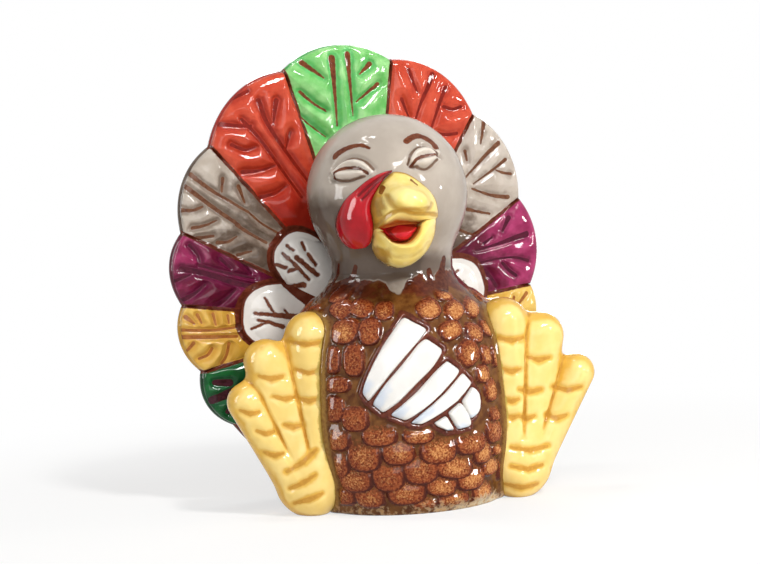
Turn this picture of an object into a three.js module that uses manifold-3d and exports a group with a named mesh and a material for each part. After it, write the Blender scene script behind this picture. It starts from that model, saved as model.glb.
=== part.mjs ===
// A glazed earthenware turkey that sits with its feet up in front and its tail spread behind.
// The hollow castings and the solid pieces luted on to them are separate solids, and the thin
// line of slip that joins two of them is left open. Millimetres, +Z up, and the bird looks
// along -Y, so its own right side is at -X.
import * as THREE from "three";
import { mergeVertices } from "three/addons/utils/BufferGeometryUtils.js";
import Module from "manifold-3d";

const wasm = await Module();
wasm.setup();

// Clay
const wall = 5; // thickness of a slip-cast wall
const slipGap = 0.4; // joint line between two luted pieces

// Body: an egg-shaped casting, open underneath, on a thickened standing ring
const bodyHeight = 100; // ground to the neck joint
const baseRadius = 39;
const bellyRadius = 47;
const bellyHeight = 42; // height of the widest section
const neckRadius = 26.5;
const shoulderFullness = 2.6; // how long the shoulder stays wide before it turns in to the neck
const bodyDepthRatio = 0.92; // front-to-back over side-to-side
const bodyLean = 8; // how far the neck sits behind the base
const standingRingWidth = 8;
const standingRingHeight = 6;

// Head: a ball on a short neck, turned and tilted a little to the bird's right
const headRadius = 34.6;
const headRise = 32.4; // centre of the ball above the neck joint
const headShift = 2.5; // towards the bird's right
const neckFillet = 6;
const headTurn = 15.5; // degrees
const headTilt = 6; // degrees
const headToTail = 2; // air between the back of the head and the tail feathers

// Tail: an oval plate with a scalloped edge, and two rows of feathers on its front
const tailWidth = 176;
const tailTop = 200; // height of the oval's top
const tailSink = 5; // the oval would end this far under the ground, where it is cut flat
const tailTilt = 2.5; // degrees, towards the bird's right
const hubHeight = bodyHeight - 24; // the point that the midribs run to
const tailPlateThickness = 7;
const tailSeatDepth = 2.5; // how far the belly's back is let into the plate
const scallopDepth = 4.5; // from a feather's tip to the notch beside it
const tailFeatherRise = 4.5; // thickness at the middle of a tail feather
const tailFeatherRoot = 42; // hub to the inner end of a tail feather
const featherGroove = 2; // dark groove between two feathers
const tailRim = 1; // plate that shows outside a feather's tip
const tailNotches = {
  right: [13.2, 37.2, 59, 78.5, 99.2, 120], // degrees from the top feather's midrib
  left: [11.8, 35.3, 60, 85.6, 107.5, 131.5],
};
const innerFeatherRoot = 12; // hub to the inner end of an inner feather
const innerFeatherRise = 3; // above the tail feathers under it
const innerFeathers = [
  { name: "top", angle: 0, reach: 56, width: 25 },
  { name: "right_upper", angle: -43.5, reach: 56, width: 26 },
  { name: "left_upper", angle: 43, reach: 54, width: 26 },
  { name: "right_lower", angle: -80, reach: 60.5, width: 30 },
  { name: "left_lower", angle: 78, reach: 58.5, width: 30 },
];

// Wing: a relief of long and short feathers on the belly. The corners of each are its root and then
// its tip, as [degrees round from the front, share of the body's height]
const wingRise = 3.2;
const wingBed = 1; // how far a wing feather is drawn below the belly's skin before it is cut to it
const wingFeathers = [
  { name: "wing_feather_1", root: [[-14.5, 0.835], [-3.5, 0.765]], tip: [[-38, 0.475], [-42, 0.52]] },
  { name: "wing_feather_2", root: [[-3.5, 0.735], [3, 0.665]], tip: [[-31, 0.435], [-36, 0.465]] },
  { name: "wing_feather_3", root: [[4.5, 0.64], [9.5, 0.6]], tip: [[-22, 0.395], [-28.5, 0.425]] },
  { name: "wing_feather_4", root: [[11.5, 0.58], [17, 0.54]], tip: [[-12, 0.38], [-18.5, 0.385]] },
  { name: "wing_short_1", root: [[10.5, 0.475], [19, 0.52]], tip: [[21.5, 0.425], [16.5, 0.38]] },
  { name: "wing_short_2", root: [[2.5, 0.43], [8, 0.455]], tip: [[15, 0.37], [9.5, 0.34]] },
  { name: "wing_short_3", root: [[-6.5, 0.395], [0.5, 0.415]], tip: [[7, 0.355], [0, 0.345]] },
];

// Feet: three fat toes and a heel each, standing upright beside the belly. The points are
// [outwards from the heel, height]
const heelRadius = 11;
const heelFlat = 0.8; // depth of the flat that the heel stands on
const footSink = 6.5; // how far the heel is let into the side of the body
const footForward = 8; // heel in front of the base's centre
const feetTurn = 11; // degrees that the pair is turned about the body, towards the bird's right
const toes = [
  { root: [-5, 16], tip: [-3, 76], rootRadius: 9.5, tipRadius: 9.5 },
  { root: [1, 14], tip: [14, 67], rootRadius: 9.5, tipRadius: 9 },
  { root: [4, 13], tip: [27, 51], rootRadius: 9, tipRadius: 8 },
];

// Face, from the centre of the head: half sizes and centres as [side, forward, up], and the share by
// which a form narrows towards its top
const upperBeak = { centre: [3.4, 32, -1.7], half: [13.6, 22, 11.7], taper: 0.22 };
const lowerBeak = { centre: [1.2, 30, -20], half: [13.8, 17.5, 10.8], taper: -0.14 };
const mouth = { centre: [0.8, 36, -14], half: [8.8, 14, 7], taper: -0.1 };
const mouthOpening = 5; // hollow of the mouth above the tongue
const eyeSide = 31; // degrees from the middle of the face
const eyeUp = 19.5; // degrees above the middle of the head
const eyeWidth = 18;
const eyeBow = 3; // how far the middle of a lid arches above its corners
const lidHeight = 4.2;
const lidRise = 1.6;
const snoodRootRadius = 2.4;
const snoodDropRadius = 8.5;
const snoodSeat = 0.35; // share of its radius that the snood's middle stands off the head
const snoodRoute = [
  [1, 15], // degrees from the middle of the face, and up
  [-10, 10],
  [-20, 3],
  [-28, -7],
  [-32, -18.5],
  [-34, -30.5],
];

// Fineness of the faceted skins
const latheSides = 32;
const sprigSides = 18;
const sprigRings = 6;

const glaze = {
  grey: 0x8f877e,
  yellow: 0xe3b452,
  brown: 0x7a4a26,
  darkBrown: 0x4a2114,
  red: 0xb5121c,
  orange: 0xb83f2c,
  green: 0x58b060,
  deepGreen: 0x1f6a2c,
  purple: 0x7d2359,
  white: 0xe9e7e3,
};

const toRadians = THREE.MathUtils.degToRad;
const toDegrees = THREE.MathUtils.radToDeg;
const mix = THREE.MathUtils.lerp;

// Solids

function solidOf(geometry) {
  const bare = geometry.clone();
  bare.deleteAttribute("normal");
  bare.deleteAttribute("uv");
  const merged = mergeVertices(bare, 1e-4);
  const mesh = {
    numProp: 3,
    vertProperties: new Float32Array(merged.getAttribute("position").array),
    triVerts: new Uint32Array(merged.index.array),
  };
  const solid = new wasm.Manifold(new wasm.Mesh(mesh));
  if (solid.volume() >= 0) return solid;
  mesh.triVerts.reverse(); // a mirrored skin has its faces turned in
  return new wasm.Manifold(new wasm.Mesh(mesh));
}

function geometryOf(solid) {
  const mesh = solid.getMesh();
  return new THREE.BufferGeometry()
    .setAttribute("position", new THREE.BufferAttribute(mesh.vertProperties, 3))
    .setIndex(new THREE.BufferAttribute(mesh.triVerts, 1));
}

function piece(name, solid, color) {
  const material = new THREE.MeshStandardMaterial({ color, roughness: 0.12, metalness: 0 });
  const mesh = new THREE.Mesh(geometryOf(solid), material);
  mesh.name = name;
  return mesh;
}

function steps(from, to, count) {
  return Array.from({ length: count + 1 }, (_, i) => mix(from, to, i / count));
}

// A closed skin: u goes once round, and v runs from one pole to the other
function skin(around, along, pointAt) {
  const geometry = new THREE.SphereGeometry(1, around, along);
  const position = geometry.getAttribute("position");
  for (let i = 0; i < position.count; i++) {
    const column = (i % (around + 1)) % around;
    const row = Math.floor(i / (around + 1));
    position.setXYZ(i, ...pointAt(column / around, row / along));
  }
  return solidOf(geometry);
}

// A cushion on a flat seat: its outline is a list of points in a plane, drawn in to a crown,
// and place carries a point of that plane, with its height above it, to the figure
function cushion(outline, rise, place) {
  const count = outline.length;
  const middle = [0, 1].map((axis) => outline.reduce((sum, p) => sum + p[axis], 0) / count);
  return skin(count, sprigRings, (u, v) => {
    const rim = outline[Math.round(u * count)];
    const spread = Math.sin(Math.PI * v);
    const crown = Math.max(Math.cos(Math.PI * v), 0) ** 0.6;
    const [p, q] = [0, 1].map((axis) => mix(middle[axis], rim[axis], spread));
    return place(p, q, rise * crown);
  });
}

function power(value, exponent) {
  return Math.sign(value) * Math.abs(value) ** exponent;
}

// A leaf-shaped outline from root to tip, fuller than an ellipse
function leaf(root, tip, width) {
  const fullness = 0.75;
  const along = new THREE.Vector2(tip[0] - root[0], tip[1] - root[1]).multiplyScalar(0.5);
  const across = new THREE.Vector2(-along.y, along.x).setLength(width / 2);
  return steps(0, 2 * Math.PI, sprigSides).slice(0, -1).map((angle) => {
    const c = power(Math.cos(angle), fullness);
    const s = power(Math.sin(angle), fullness);
    const x = (root[0] + tip[0]) / 2 + along.x * c + across.x * s;
    const y = (root[1] + tip[1]) / 2 + along.y * c + across.y * s;
    return [x, y];
  });
}

// A four-cornered outline with well rounded corners
function roundedPatch(corners) {
  const fullness = 0.45;
  return steps(0, 2 * Math.PI, sprigSides).slice(0, -1).map((angle) => {
    const across = (1 + power(Math.sin(angle), fullness)) / 2;
    const along = (1 - power(Math.cos(angle), fullness)) / 2;
    return [0, 1].map((axis) => {
      const [first, second, third, fourth] = corners.map((corner) => corner[axis]);
      return mix(mix(first, second, across), mix(fourth, third, across), along);
    });
  });
}

// A lathe about +Z from [radius, height] pairs that start and end on the axis
function lathe(profile) {
  const points = profile.map(([radius, height]) => new THREE.Vector2(radius, height));
  return new THREE.LatheGeometry(points, latheSides).rotateX(Math.PI / 2);
}

// Body

function bodyRadius(height) {
  if (height < bellyHeight) {
    const swell = Math.sin(((height / bellyHeight) * Math.PI) / 2);
    return mix(baseRadius, bellyRadius, swell);
  }
  const climb = ((height - bellyHeight) / (bodyHeight - bellyHeight)) ** shoulderFullness;
  return mix(neckRadius, bellyRadius, (1 + Math.cos(Math.PI * climb)) / 2);
}

// A point on the body: degrees from the front towards the bird's left, height, and distance outwards
function bodyPoint(angle, height, out) {
  const radius = bodyRadius(height) + out;
  const axis = (bodyLean * height) / bodyHeight;
  const y = axis - bodyDepthRatio * radius * Math.cos(toRadians(angle));
  return [radius * Math.sin(toRadians(angle)), y, height];
}

// Gives a lathe the body's oval section and its lean
function leaning(geometry) {
  const lean = new THREE.Matrix4().makeShear(0, 0, 0, 0, 0, bodyLean / bodyHeight);
  return geometry.scale(1, bodyDepthRatio, 1).applyMatrix4(lean);
}

function bodyOuter(grow) {
  const side = steps(0, bodyHeight, 14).map((z) => [bodyRadius(z) + grow, z]);
  return solidOf(leaning(lathe([[0, 0], ...side, [0, bodyHeight]])));
}

function bodyCavity() {
  const past = 1; // the cavity runs out through the neck and the base
  const ring = baseRadius - standingRingWidth;
  const inside = steps(standingRingHeight, bodyHeight, 9).map((z) => [bodyRadius(z) - wall, z]);
  const neck = [neckRadius - wall, bodyHeight + past];
  return solidOf(leaning(lathe([[0, -past], [ring, -past], [ring, 0], ...inside, neck, [0, neck[1]]])));
}

const bodyGrown = bodyOuter(slipGap);
const bodyShell = bodyOuter(0).subtract(bodyCavity());

// Head

const tailFrontY = bodyPoint(180, bellyHeight, 0)[1] - tailSeatDepth;
const headY = tailFrontY - slipGap - tailFeatherRise - headToTail - headRadius;
const headZ = bodyHeight + headRise;

// Radius of the head at a height from its centre: the ball, blended into the neck below
function headSection(height, grow) {
  const ball = Math.sqrt(Math.max((headRadius + grow) ** 2 - height ** 2, 0));
  if (height > 0) return ball;
  const neck = neckRadius + grow;
  const blend = Math.max(neckFillet - Math.abs(ball - neck), 0);
  return Math.max(ball, neck) + blend ** 2 / (4 * neckFillet);
}

// The head about its own centre, from the bottom of the neck up. Going down, the neck takes the body's
// oval section and is led to the body's axis
function headOuter(grow, bottom) {
  const top = headRadius + grow;
  const above = steps(0, Math.PI / 2, 6).map((angle) => top * Math.cos(angle));
  const below = steps(0, bottom, 8).slice(1);
  const profile = [...above, ...below].map((z) => [headSection(z, grow), z]);
  const geometry = lathe([...profile, [0, bottom]].reverse());
  const position = geometry.getAttribute("position");
  for (let i = 0; i < position.count; i++) {
    const drop = THREE.MathUtils.smoothstep(-position.getZ(i), 0, headRise);
    position.setX(i, position.getX(i) + headShift * drop);
    position.setY(i, position.getY(i) * mix(1, bodyDepthRatio, drop) + (bodyLean - headY) * drop);
  }
  return solidOf(geometry);
}

const neckPast = 1; // the cavity runs out through the neck joint
const headGrown = headOuter(slipGap, -headRise);
const headShell = headOuter(0, slipGap - headRise).subtract(headOuter(-wall, -headRise - neckPast));

const head = new THREE.Group();
head.position.set(-headShift, headY, headZ);
head.add(piece("head_shell", headShell, glaze.grey));

// Face

const faceTurn = new THREE.Euler(0, -toRadians(headTilt), -toRadians(headTurn), "ZYX");

// A point of the face, turned and tilted with it
function onFace(side, forward, up) {
  return new THREE.Vector3(side, -forward, up).applyEuler(faceTurn);
}

// A point near the surface of the head: degrees from the middle of the face and up, and distance out
function onHead(side, up, out) {
  const radius = headRadius + out;
  const level = radius * Math.cos(toRadians(up));
  const angle = toRadians(side);
  return onFace(level * Math.sin(angle), level * Math.cos(angle), radius * Math.sin(toRadians(up)));
}

// A ball of three half sizes, a little squarer than an ellipsoid
function roundedBlock({ centre, half, taper }, grow, lift) {
  const squareness = 0.85;
  return skin(16, 12, (u, v) => {
    const turn = 2 * Math.PI * u;
    const forward = power(Math.cos(Math.PI * v), squareness);
    const spread = Math.sin(Math.PI * v) ** squareness;
    const level = power(Math.sin(turn), squareness);
    const side = (half[0] + grow) * spread * power(Math.cos(turn), squareness) * (1 - taper * level);
    const up = (half[2] + grow) * spread * level;
    return onFace(centre[0] + side, centre[1] + (half[1] + grow) * forward, centre[2] + lift + up);
  });
}

const upperBeakGrown = roundedBlock(upperBeak, slipGap, 0);
const upperBeakSolid = roundedBlock(upperBeak, 0, 0).subtract(headGrown);
const lowerBeakSolid = roundedBlock(lowerBeak, 0, 0)
  .subtract(headGrown)
  .subtract(upperBeakGrown)
  .subtract(roundedBlock(mouth, 0, 0));
const tongueSolid = roundedBlock(mouth, -slipGap, 0)
  .subtract(roundedBlock(mouth, slipGap, mouthOpening))
  .subtract(headGrown)
  .subtract(upperBeakGrown);

// The snood: a drop that hangs from between the eyes down the right of the beak
function snood() {
  const route = new THREE.CatmullRomCurve3(snoodRoute.map(([side, up]) => onHead(side, up, 0)));
  return skin(12, 14, (u, v) => {
    const turn = 2 * Math.PI * u;
    const along = (1 - Math.cos(Math.PI * v)) / 2;
    const centre = route.getPoint(along);
    const ahead = route.getTangent(along);
    const outward = centre.clone().normalize();
    const across = new THREE.Vector3().crossVectors(ahead, outward).normalize();
    const swell = THREE.MathUtils.smoothstep(along, 0, 0.8);
    const fat = mix(snoodRootRadius, snoodDropRadius, swell) * Math.sin(Math.PI * v) ** 0.7;
    centre.addScaledVector(across, fat * Math.cos(turn));
    centre.addScaledVector(outward, fat * (Math.sin(turn) + snoodSeat));
    return centre;
  });
}

const snoodSolid = snood()
  .subtract(headGrown)
  .subtract(upperBeakGrown)
  .subtract(roundedBlock(lowerBeak, slipGap, 0));

function eyelid(sideSign, lift) {
  const outline = leaf([-eyeWidth / 2, lift], [eyeWidth / 2, lift], lidHeight);
  const level = headRadius * Math.cos(toRadians(eyeUp));
  return cushion(outline, lidRise, (p, q, h) => {
    const arch = eyeBow * (1 - (2 * p / eyeWidth) ** 2);
    const side = sideSign * eyeSide + toDegrees(p / level);
    return onHead(side, eyeUp + toDegrees((q + arch) / headRadius), slipGap + h);
  });
}

head.add(
  piece("upper_beak", upperBeakSolid, glaze.yellow),
  piece("lower_beak", lowerBeakSolid, glaze.yellow),
  piece("tongue", tongueSolid, glaze.red),
  piece("snood", snoodSolid, glaze.red),
);
const lidStep = (lidHeight + slipGap) / 2;
for (const [name, sign] of [["right", -1], ["left", 1]]) {
  head.add(piece(`${name}_upper_eyelid`, eyelid(sign, lidStep), glaze.grey));
  head.add(piece(`${name}_lower_eyelid`, eyelid(sign, -lidStep), glaze.grey));
}

// Tail

const tailMiddle = (tailTop - tailSink) / 2;
const tailHalfHeight = (tailTop + tailSink) / 2;

// The tail feathers in order from the bird's right to its left, each between two notches
const tailColours = ["green", "red", "grey", "purple", "yellow", "deepGreen"];
const tailHex = { ...glaze, red: glaze.orange };
const tailFeathers = [{ name: "green_top", hex: glaze.green, from: -tailNotches.right[0], to: tailNotches.left[0] }];
for (let i = 1; i < tailColours.length; i++) {
  const colour = tailColours[i];
  const label = colour.replace("G", "_g");
  const { right, left } = tailNotches;
  tailFeathers.push({ name: `${label}_right`, hex: tailHex[colour], from: -right[i], to: -right[i - 1] });
  tailFeathers.push({ name: `${label}_left`, hex: tailHex[colour], from: left[i - 1], to: left[i] });
}

// Hub to the oval that the feather tips touch, at an angle from the top feather's midrib
function ovalReach(angle) {
  const side = Math.sin(toRadians(angle)) / (tailWidth / 2);
  const up = Math.cos(toRadians(angle)) / tailHalfHeight;
  const start = (hubHeight - tailMiddle) / tailHalfHeight;
  const square = side ** 2 + up ** 2;
  const half = start * up;
  return (-half + Math.sqrt(half ** 2 - square * (start ** 2 - 1))) / square;
}

// The scalloped edge: it falls back to a notch on each side of a feather, and stays back below the last
function tailEdge(angle) {
  const feather = tailFeathers.find(({ from, to }) => angle >= from && angle <= to);
  if (!feather) return ovalReach(angle) - scallopDepth;
  const offMidrib = (2 * angle - feather.from - feather.to) / (feather.to - feather.from);
  return ovalReach(angle) - scallopDepth * offMidrib ** 2;
}

function onTail(radius, angle) {
  const turn = toRadians(angle - tailTilt);
  return [radius * Math.sin(turn), radius * Math.cos(turn)];
}

const onTailFront = (p, q, h) => [p, tailFrontY - slipGap - h, hubHeight + q];

function tailPlate() {
  const scallops = tailFeathers
    .map(({ from, to }) => steps(from, to, 8).slice(0, -1))
    .flat()
    .sort((a, b) => a - b);
  const first = tailNotches.left.at(-1);
  const last = 360 - tailNotches.right.at(-1);
  const outline = [...scallops, ...steps(first, last, 12).slice(0, -1)].map((angle) => {
    const [x, z] = onTail(tailEdge(angle), angle);
    return new THREE.Vector2(x, Math.max(z, -hubHeight));
  });
  const bevel = 1.5;
  const geometry = new THREE.ExtrudeGeometry(new THREE.Shape(outline), {
    depth: tailPlateThickness - 2 * bevel,
    bevelThickness: bevel,
    bevelSize: bevel,
    bevelOffset: -bevel,
    bevelSegments: 1,
  });
  geometry.rotateX(Math.PI / 2).translate(0, tailFrontY + tailPlateThickness - bevel, hubHeight);
  return solidOf(geometry).subtract(bodyGrown);
}

// Outline of one tail feather about the hub: two straight sides, a round tip and a short root
function tailFeatherOutline({ from, to }, grow) {
  const inset = (radius) => toDegrees((featherGroove / 2 - grow) / radius);
  const shoulders = [from, to].map((angle) => tailEdge(angle) - tailRim + grow);
  const root = tailFeatherRoot - grow;
  const right = steps(root, shoulders[0], 4).map((r) => onTail(r, from + inset(r)));
  const left = steps(shoulders[1], root, 4).map((r) => onTail(r, to - inset(r)));
  const tip = steps(from + inset(shoulders[0]), to - inset(shoulders[1]), 9)
    .slice(1, -1)
    .map((angle) => onTail(tailEdge(angle) - tailRim + grow, angle));
  return [...right, ...tip, ...left];
}

const tail = new THREE.Group();
tail.add(piece("tail_plate", tailPlate(), glaze.darkBrown));
for (const feather of tailFeathers) {
  const solid = cushion(tailFeatherOutline(feather, 0), tailFeatherRise, onTailFront).subtract(bodyGrown);
  tail.add(piece(`tail_feather_${feather.name}`, solid, feather.hex));
}

// The inner feathers stand on the plate round the hub and lap over the roots of the tail feathers,
// and each is tucked under the ones above it
const headInPlace = solidOf(geometryOf(headGrown).translate(-headShift, headY, headZ));
const tailFeathersGrown = tailFeathers.map((feather) =>
  cushion(tailFeatherOutline(feather, slipGap), tailFeatherRise + slipGap, onTailFront),
);
function innerFeather({ angle, reach, width }, grow) {
  const root = onTail(innerFeatherRoot - grow, angle);
  const outline = leaf(root, onTail(reach + grow, angle), width + 2 * grow);
  return cushion(outline, tailFeatherRise + innerFeatherRise + grow, onTailFront);
}

const neighbours = [bodyGrown, headInPlace, ...tailFeathersGrown];
for (const feather of innerFeathers) {
  const solid = neighbours.reduce((rest, neighbour) => rest.subtract(neighbour), innerFeather(feather, 0));
  tail.add(piece(`inner_feather_${feather.name}`, solid, glaze.white));
  neighbours.push(innerFeather(feather, slipGap));
}

// Wing

const wing = new THREE.Group();
for (const { name, root, tip } of wingFeathers) {
  const outline = roundedPatch([...root, ...tip]);
  const solid = cushion(outline, wingRise + wingBed, (angle, share, h) =>
    bodyPoint(angle, share * bodyHeight, h - wingBed),
  );
  wing.add(piece(name, solid.subtract(bodyGrown), glaze.white));
}

// Feet

const heelHeight = heelRadius - heelFlat;
const heelSide = bodyRadius(heelHeight) + heelRadius - footSink;

// A round-ended, slightly tapered limb between two points of the foot's upright plane
function limb(root, tip, rootRadius, tipRadius) {
  const reach = new THREE.Vector3(tip[0] - root[0], 0, tip[1] - root[1]);
  const length = reach.length();
  const geometry = new THREE.CapsuleGeometry(1, length, 4, 12);
  const position = geometry.getAttribute("position");
  for (let i = 0; i < position.count; i++) {
    const share = THREE.MathUtils.clamp(position.getY(i) / length + 0.5, 0, 1);
    const fat = mix(rootRadius, tipRadius, share);
    const middle = (share - 0.5) * length;
    const y = middle + (position.getY(i) - middle) * fat;
    position.setXYZ(i, position.getX(i) * fat, y, position.getZ(i) * fat);
  }
  const up = new THREE.Vector3(0, 1, 0);
  geometry.applyQuaternion(new THREE.Quaternion().setFromUnitVectors(up, reach.normalize()));
  return geometry.translate((root[0] + tip[0]) / 2, 0, (root[1] + tip[1]) / 2);
}

function foot(sideSign) {
  const ground = new THREE.BoxGeometry(4 * tailWidth, 4 * tailWidth, tailTop).translate(0, 0, -tailTop / 2);
  const limbs = toes.map((toe) => limb(toe.root, toe.tip, toe.rootRadius, toe.tipRadius));
  limbs.push(limb([0, heelHeight], [0, 2 * heelHeight], heelRadius, heelRadius));
  return limbs
    .map((geometry) => geometry.translate(heelSide, -footForward, 0).scale(sideSign, 1, 1))
    .map((geometry) => solidOf(geometry.rotateZ(toRadians(-feetTurn))))
    .reduce((whole, part) => whole.add(part))
    .subtract(solidOf(ground))
    .subtract(bodyGrown);
}

const figure = new THREE.Group();
figure.add(
  piece("body_shell", bodyShell, glaze.brown),
  head,
  tail,
  wing,
  piece("right_foot", foot(-1), glaze.yellow),
  piece("left_foot", foot(1), glaze.yellow),
);

// The origin is on the ground, under the middle of the figure
const extent = new THREE.Box3().setFromObject(figure);
figure.position.x = -(extent.min.x + extent.max.x) / 2;
figure.position.y = -(extent.min.y + extent.max.y) / 2;

export default figure;
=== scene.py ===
import bpy
import numpy as np
from mathutils import Matrix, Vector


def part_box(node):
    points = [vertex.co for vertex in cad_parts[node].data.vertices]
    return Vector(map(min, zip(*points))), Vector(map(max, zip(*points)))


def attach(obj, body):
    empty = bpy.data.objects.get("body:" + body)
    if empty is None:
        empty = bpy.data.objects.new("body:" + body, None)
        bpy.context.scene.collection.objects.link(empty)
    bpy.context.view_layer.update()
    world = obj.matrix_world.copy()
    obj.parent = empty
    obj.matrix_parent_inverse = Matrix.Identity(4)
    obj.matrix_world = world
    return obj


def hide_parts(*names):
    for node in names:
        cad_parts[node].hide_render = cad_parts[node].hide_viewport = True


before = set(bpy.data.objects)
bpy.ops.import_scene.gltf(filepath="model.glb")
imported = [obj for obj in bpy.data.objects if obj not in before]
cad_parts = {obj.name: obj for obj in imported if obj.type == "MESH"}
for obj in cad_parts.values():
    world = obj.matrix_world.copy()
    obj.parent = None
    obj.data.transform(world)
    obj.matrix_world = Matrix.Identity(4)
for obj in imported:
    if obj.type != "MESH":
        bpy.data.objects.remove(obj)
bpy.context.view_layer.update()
print("frame loaded:", len(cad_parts), "solids")

# All shapes are worked out in millimetres in the figure's own frame: ground at z = 0, the bird looks
# along -Y and its own right is at -X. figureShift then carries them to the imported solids
toMetres = 0.001
plateFront = 44.1  # y of the tail plate's front
bodyLow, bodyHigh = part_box("body_shell")
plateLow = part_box("tail_plate")[0]
figureShift = np.array([(bodyLow.x + bodyHigh.x) / 2, plateLow.y, 0]) / toMetres - [0, plateFront, 0]
tailGap = 0.3  # air between the body and what stands behind it
far = 1e3  # beyond any place on the figure
dice = np.random.default_rng(11)  # the same draws on every run


# Helpers for shapes

def mix(first, second, share):
    return first + (second - first) * share


def smooth(low, high, value):
    # eased step: 0 at low, 1 at high, flat at both ends; low may be the larger
    share = np.clip((value - low) / (high - low), 0, 1)
    return share * share * (3 - 2 * share)


def bell(off, width):
    # 1 in the middle, falling off on both sides as exp(-(off / width) squared)
    return np.exp(-(off / width) ** 2)


def groove(distance, width):
    # 1 on a stroke, and a bell curve of the distance outside it
    return bell(np.maximum(distance, 0), width)


def power(value, exponent):
    # of the size alone; the sign stays
    return np.sign(value) * np.abs(value) ** exponent


def rootOf(value):
    # square root, 0 where there is none
    return np.sqrt(np.maximum(value, 0))


def ovalSize(p, q, square):
    # 1 on an oval drawn out towards a box, less within: the sum of both powers, and its root
    return (np.abs(p) ** square + np.abs(q) ** square) ** (1 / square)


def unit(vector):
    return vector / np.linalg.norm(vector, axis=-1, keepdims=True)


def pointsOf(*parts):
    # coordinates of shapes that fit each other, as one array of points
    return np.stack(np.broadcast_arrays(*parts), -1)


def easedShares(count, ease=0.6):
    # from 0 to 1, partly by a quarter sine, so that they lie closer towards 1
    even = np.linspace(0, 1, count)
    return mix(even, np.sin(even * np.pi / 2), ease)


def turnsRound(count, start=0.0):
    return np.linspace(start, start + 2 * np.pi, count, endpoint=False)


def curveThrough(points, perSpan=6, closed=False):
    # Catmull-Rom: each span is a cubic through its two ends, led by the points before and after them
    points = np.asarray(points, float)
    if closed:
        points = np.vstack([points, points[:1]])
        padded = np.vstack([points[-2], points, points[1]])
    else:
        padded = np.vstack([2 * points[0] - points[1], points, 2 * points[-1] - points[-2]])
    t = np.linspace(0, 1, perSpan, endpoint=False)[:, None]
    spans = [b + ((c - a) * t + (2 * a - 5 * b + 4 * c - d) * t ** 2 + (3 * b - a - 3 * c + d) * t ** 3) / 2
             for a, b, c, d in zip(padded, padded[1:], padded[2:], padded[3:])]
    return np.vstack(spans + [points[-1:]])


def alongCurve(points, perSpan, share):
    # place at a share of the way along a curve, counted by its points
    line = curveThrough(points, perSpan)
    steps = np.linspace(0, 1, len(line))
    return np.stack([np.interp(share, steps, line[:, k]) for k in (0, 1)], -1)


def nearPath(points, path, startWidth, endWidth):
    # distance from each point to a brush stroke: to the nearest span of its line, less half its width there
    line = curveThrough(path)
    share = np.linspace(0, 1, len(line))
    best = np.full(points.shape[:-1], far)
    for k in range(len(line) - 1):
        step = line[k + 1] - line[k]
        t = np.clip(((points - line[k]) @ step) / (step @ step), 0, 1)
        reach = np.linalg.norm(points - line[k] - t[..., None] * step, axis=-1)
        best = np.minimum(best, reach - mix(startWidth, endWidth, mix(share[k], share[k + 1], t)) / 2)
    return best


def nearest(points, strokes):
    # distance outside the nearest of some strokes, each a line with its width at both ends
    return np.min([nearPath(points, *stroke) for stroke in strokes], 0)


def outsideOf(points, outline):
    # distance to a closed outline, less than 0 inside it: the nearest edge gives the distance, and the edges
    # crossed along a ray give the sign
    best = np.full(points.shape[:-1], far)
    inside = np.zeros(points.shape[:-1], bool)
    for a, b in zip(outline, np.roll(outline, -1, 0)):
        step = b - a
        t = np.clip(((points - a) @ step) / (step @ step), 0, 1)
        best = np.minimum(best, np.linalg.norm(points - a - t[..., None] * step, axis=-1))
        passes = (a[1] > points[..., 1]) != (b[1] > points[..., 1])
        inside ^= passes & (points[..., 0] < a[0] + (points[..., 1] - a[1]) * step[0] / (step[1] or 1e-9))
    return np.where(inside, -best, best)


def ringsWithin(outline, middle, around, rings):
    # rings of points from the middle out to a closed curve: share of the way and place
    curve = curveThrough(outline, 12, closed=True)[:-1] - middle
    bearing, reach = np.arctan2(curve[:, 0], curve[:, 1]), np.linalg.norm(curve, axis=1)
    order = np.argsort(bearing)
    turn = turnsRound(around, -np.pi)
    reach = np.interp(turn, bearing[order], reach[order], period=2 * np.pi)
    share = easedShares(rings)[:, None]
    return share, middle + (share * reach)[..., None] * pointsOf(np.sin(turn), np.cos(turn))


def closedSkin(grid, ring=False):
    # columns close round; rows close in a ring, or else the first and last rows are drawn to one point each
    rows, cols = grid.shape[:2]
    index = np.arange(rows * cols).reshape(rows, cols)
    if not ring:
        index[0] = index[0, 0]
        index[-1] = index[-1, 0]
    below = np.roll(index, -1, 0) if ring else index[1:]
    above = index if ring else index[:-1]
    bands = np.stack([above, np.roll(above, -1, 1), np.roll(below, -1, 1), below], -1)
    if ring:
        return bands.reshape(-1, 4), np.zeros((0, 3), int)
    caps = np.concatenate([bands[0][:, [0, 2, 3]], bands[-1][:, [0, 1, 2]]])
    return bands[1:-1].reshape(-1, 4), caps


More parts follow.
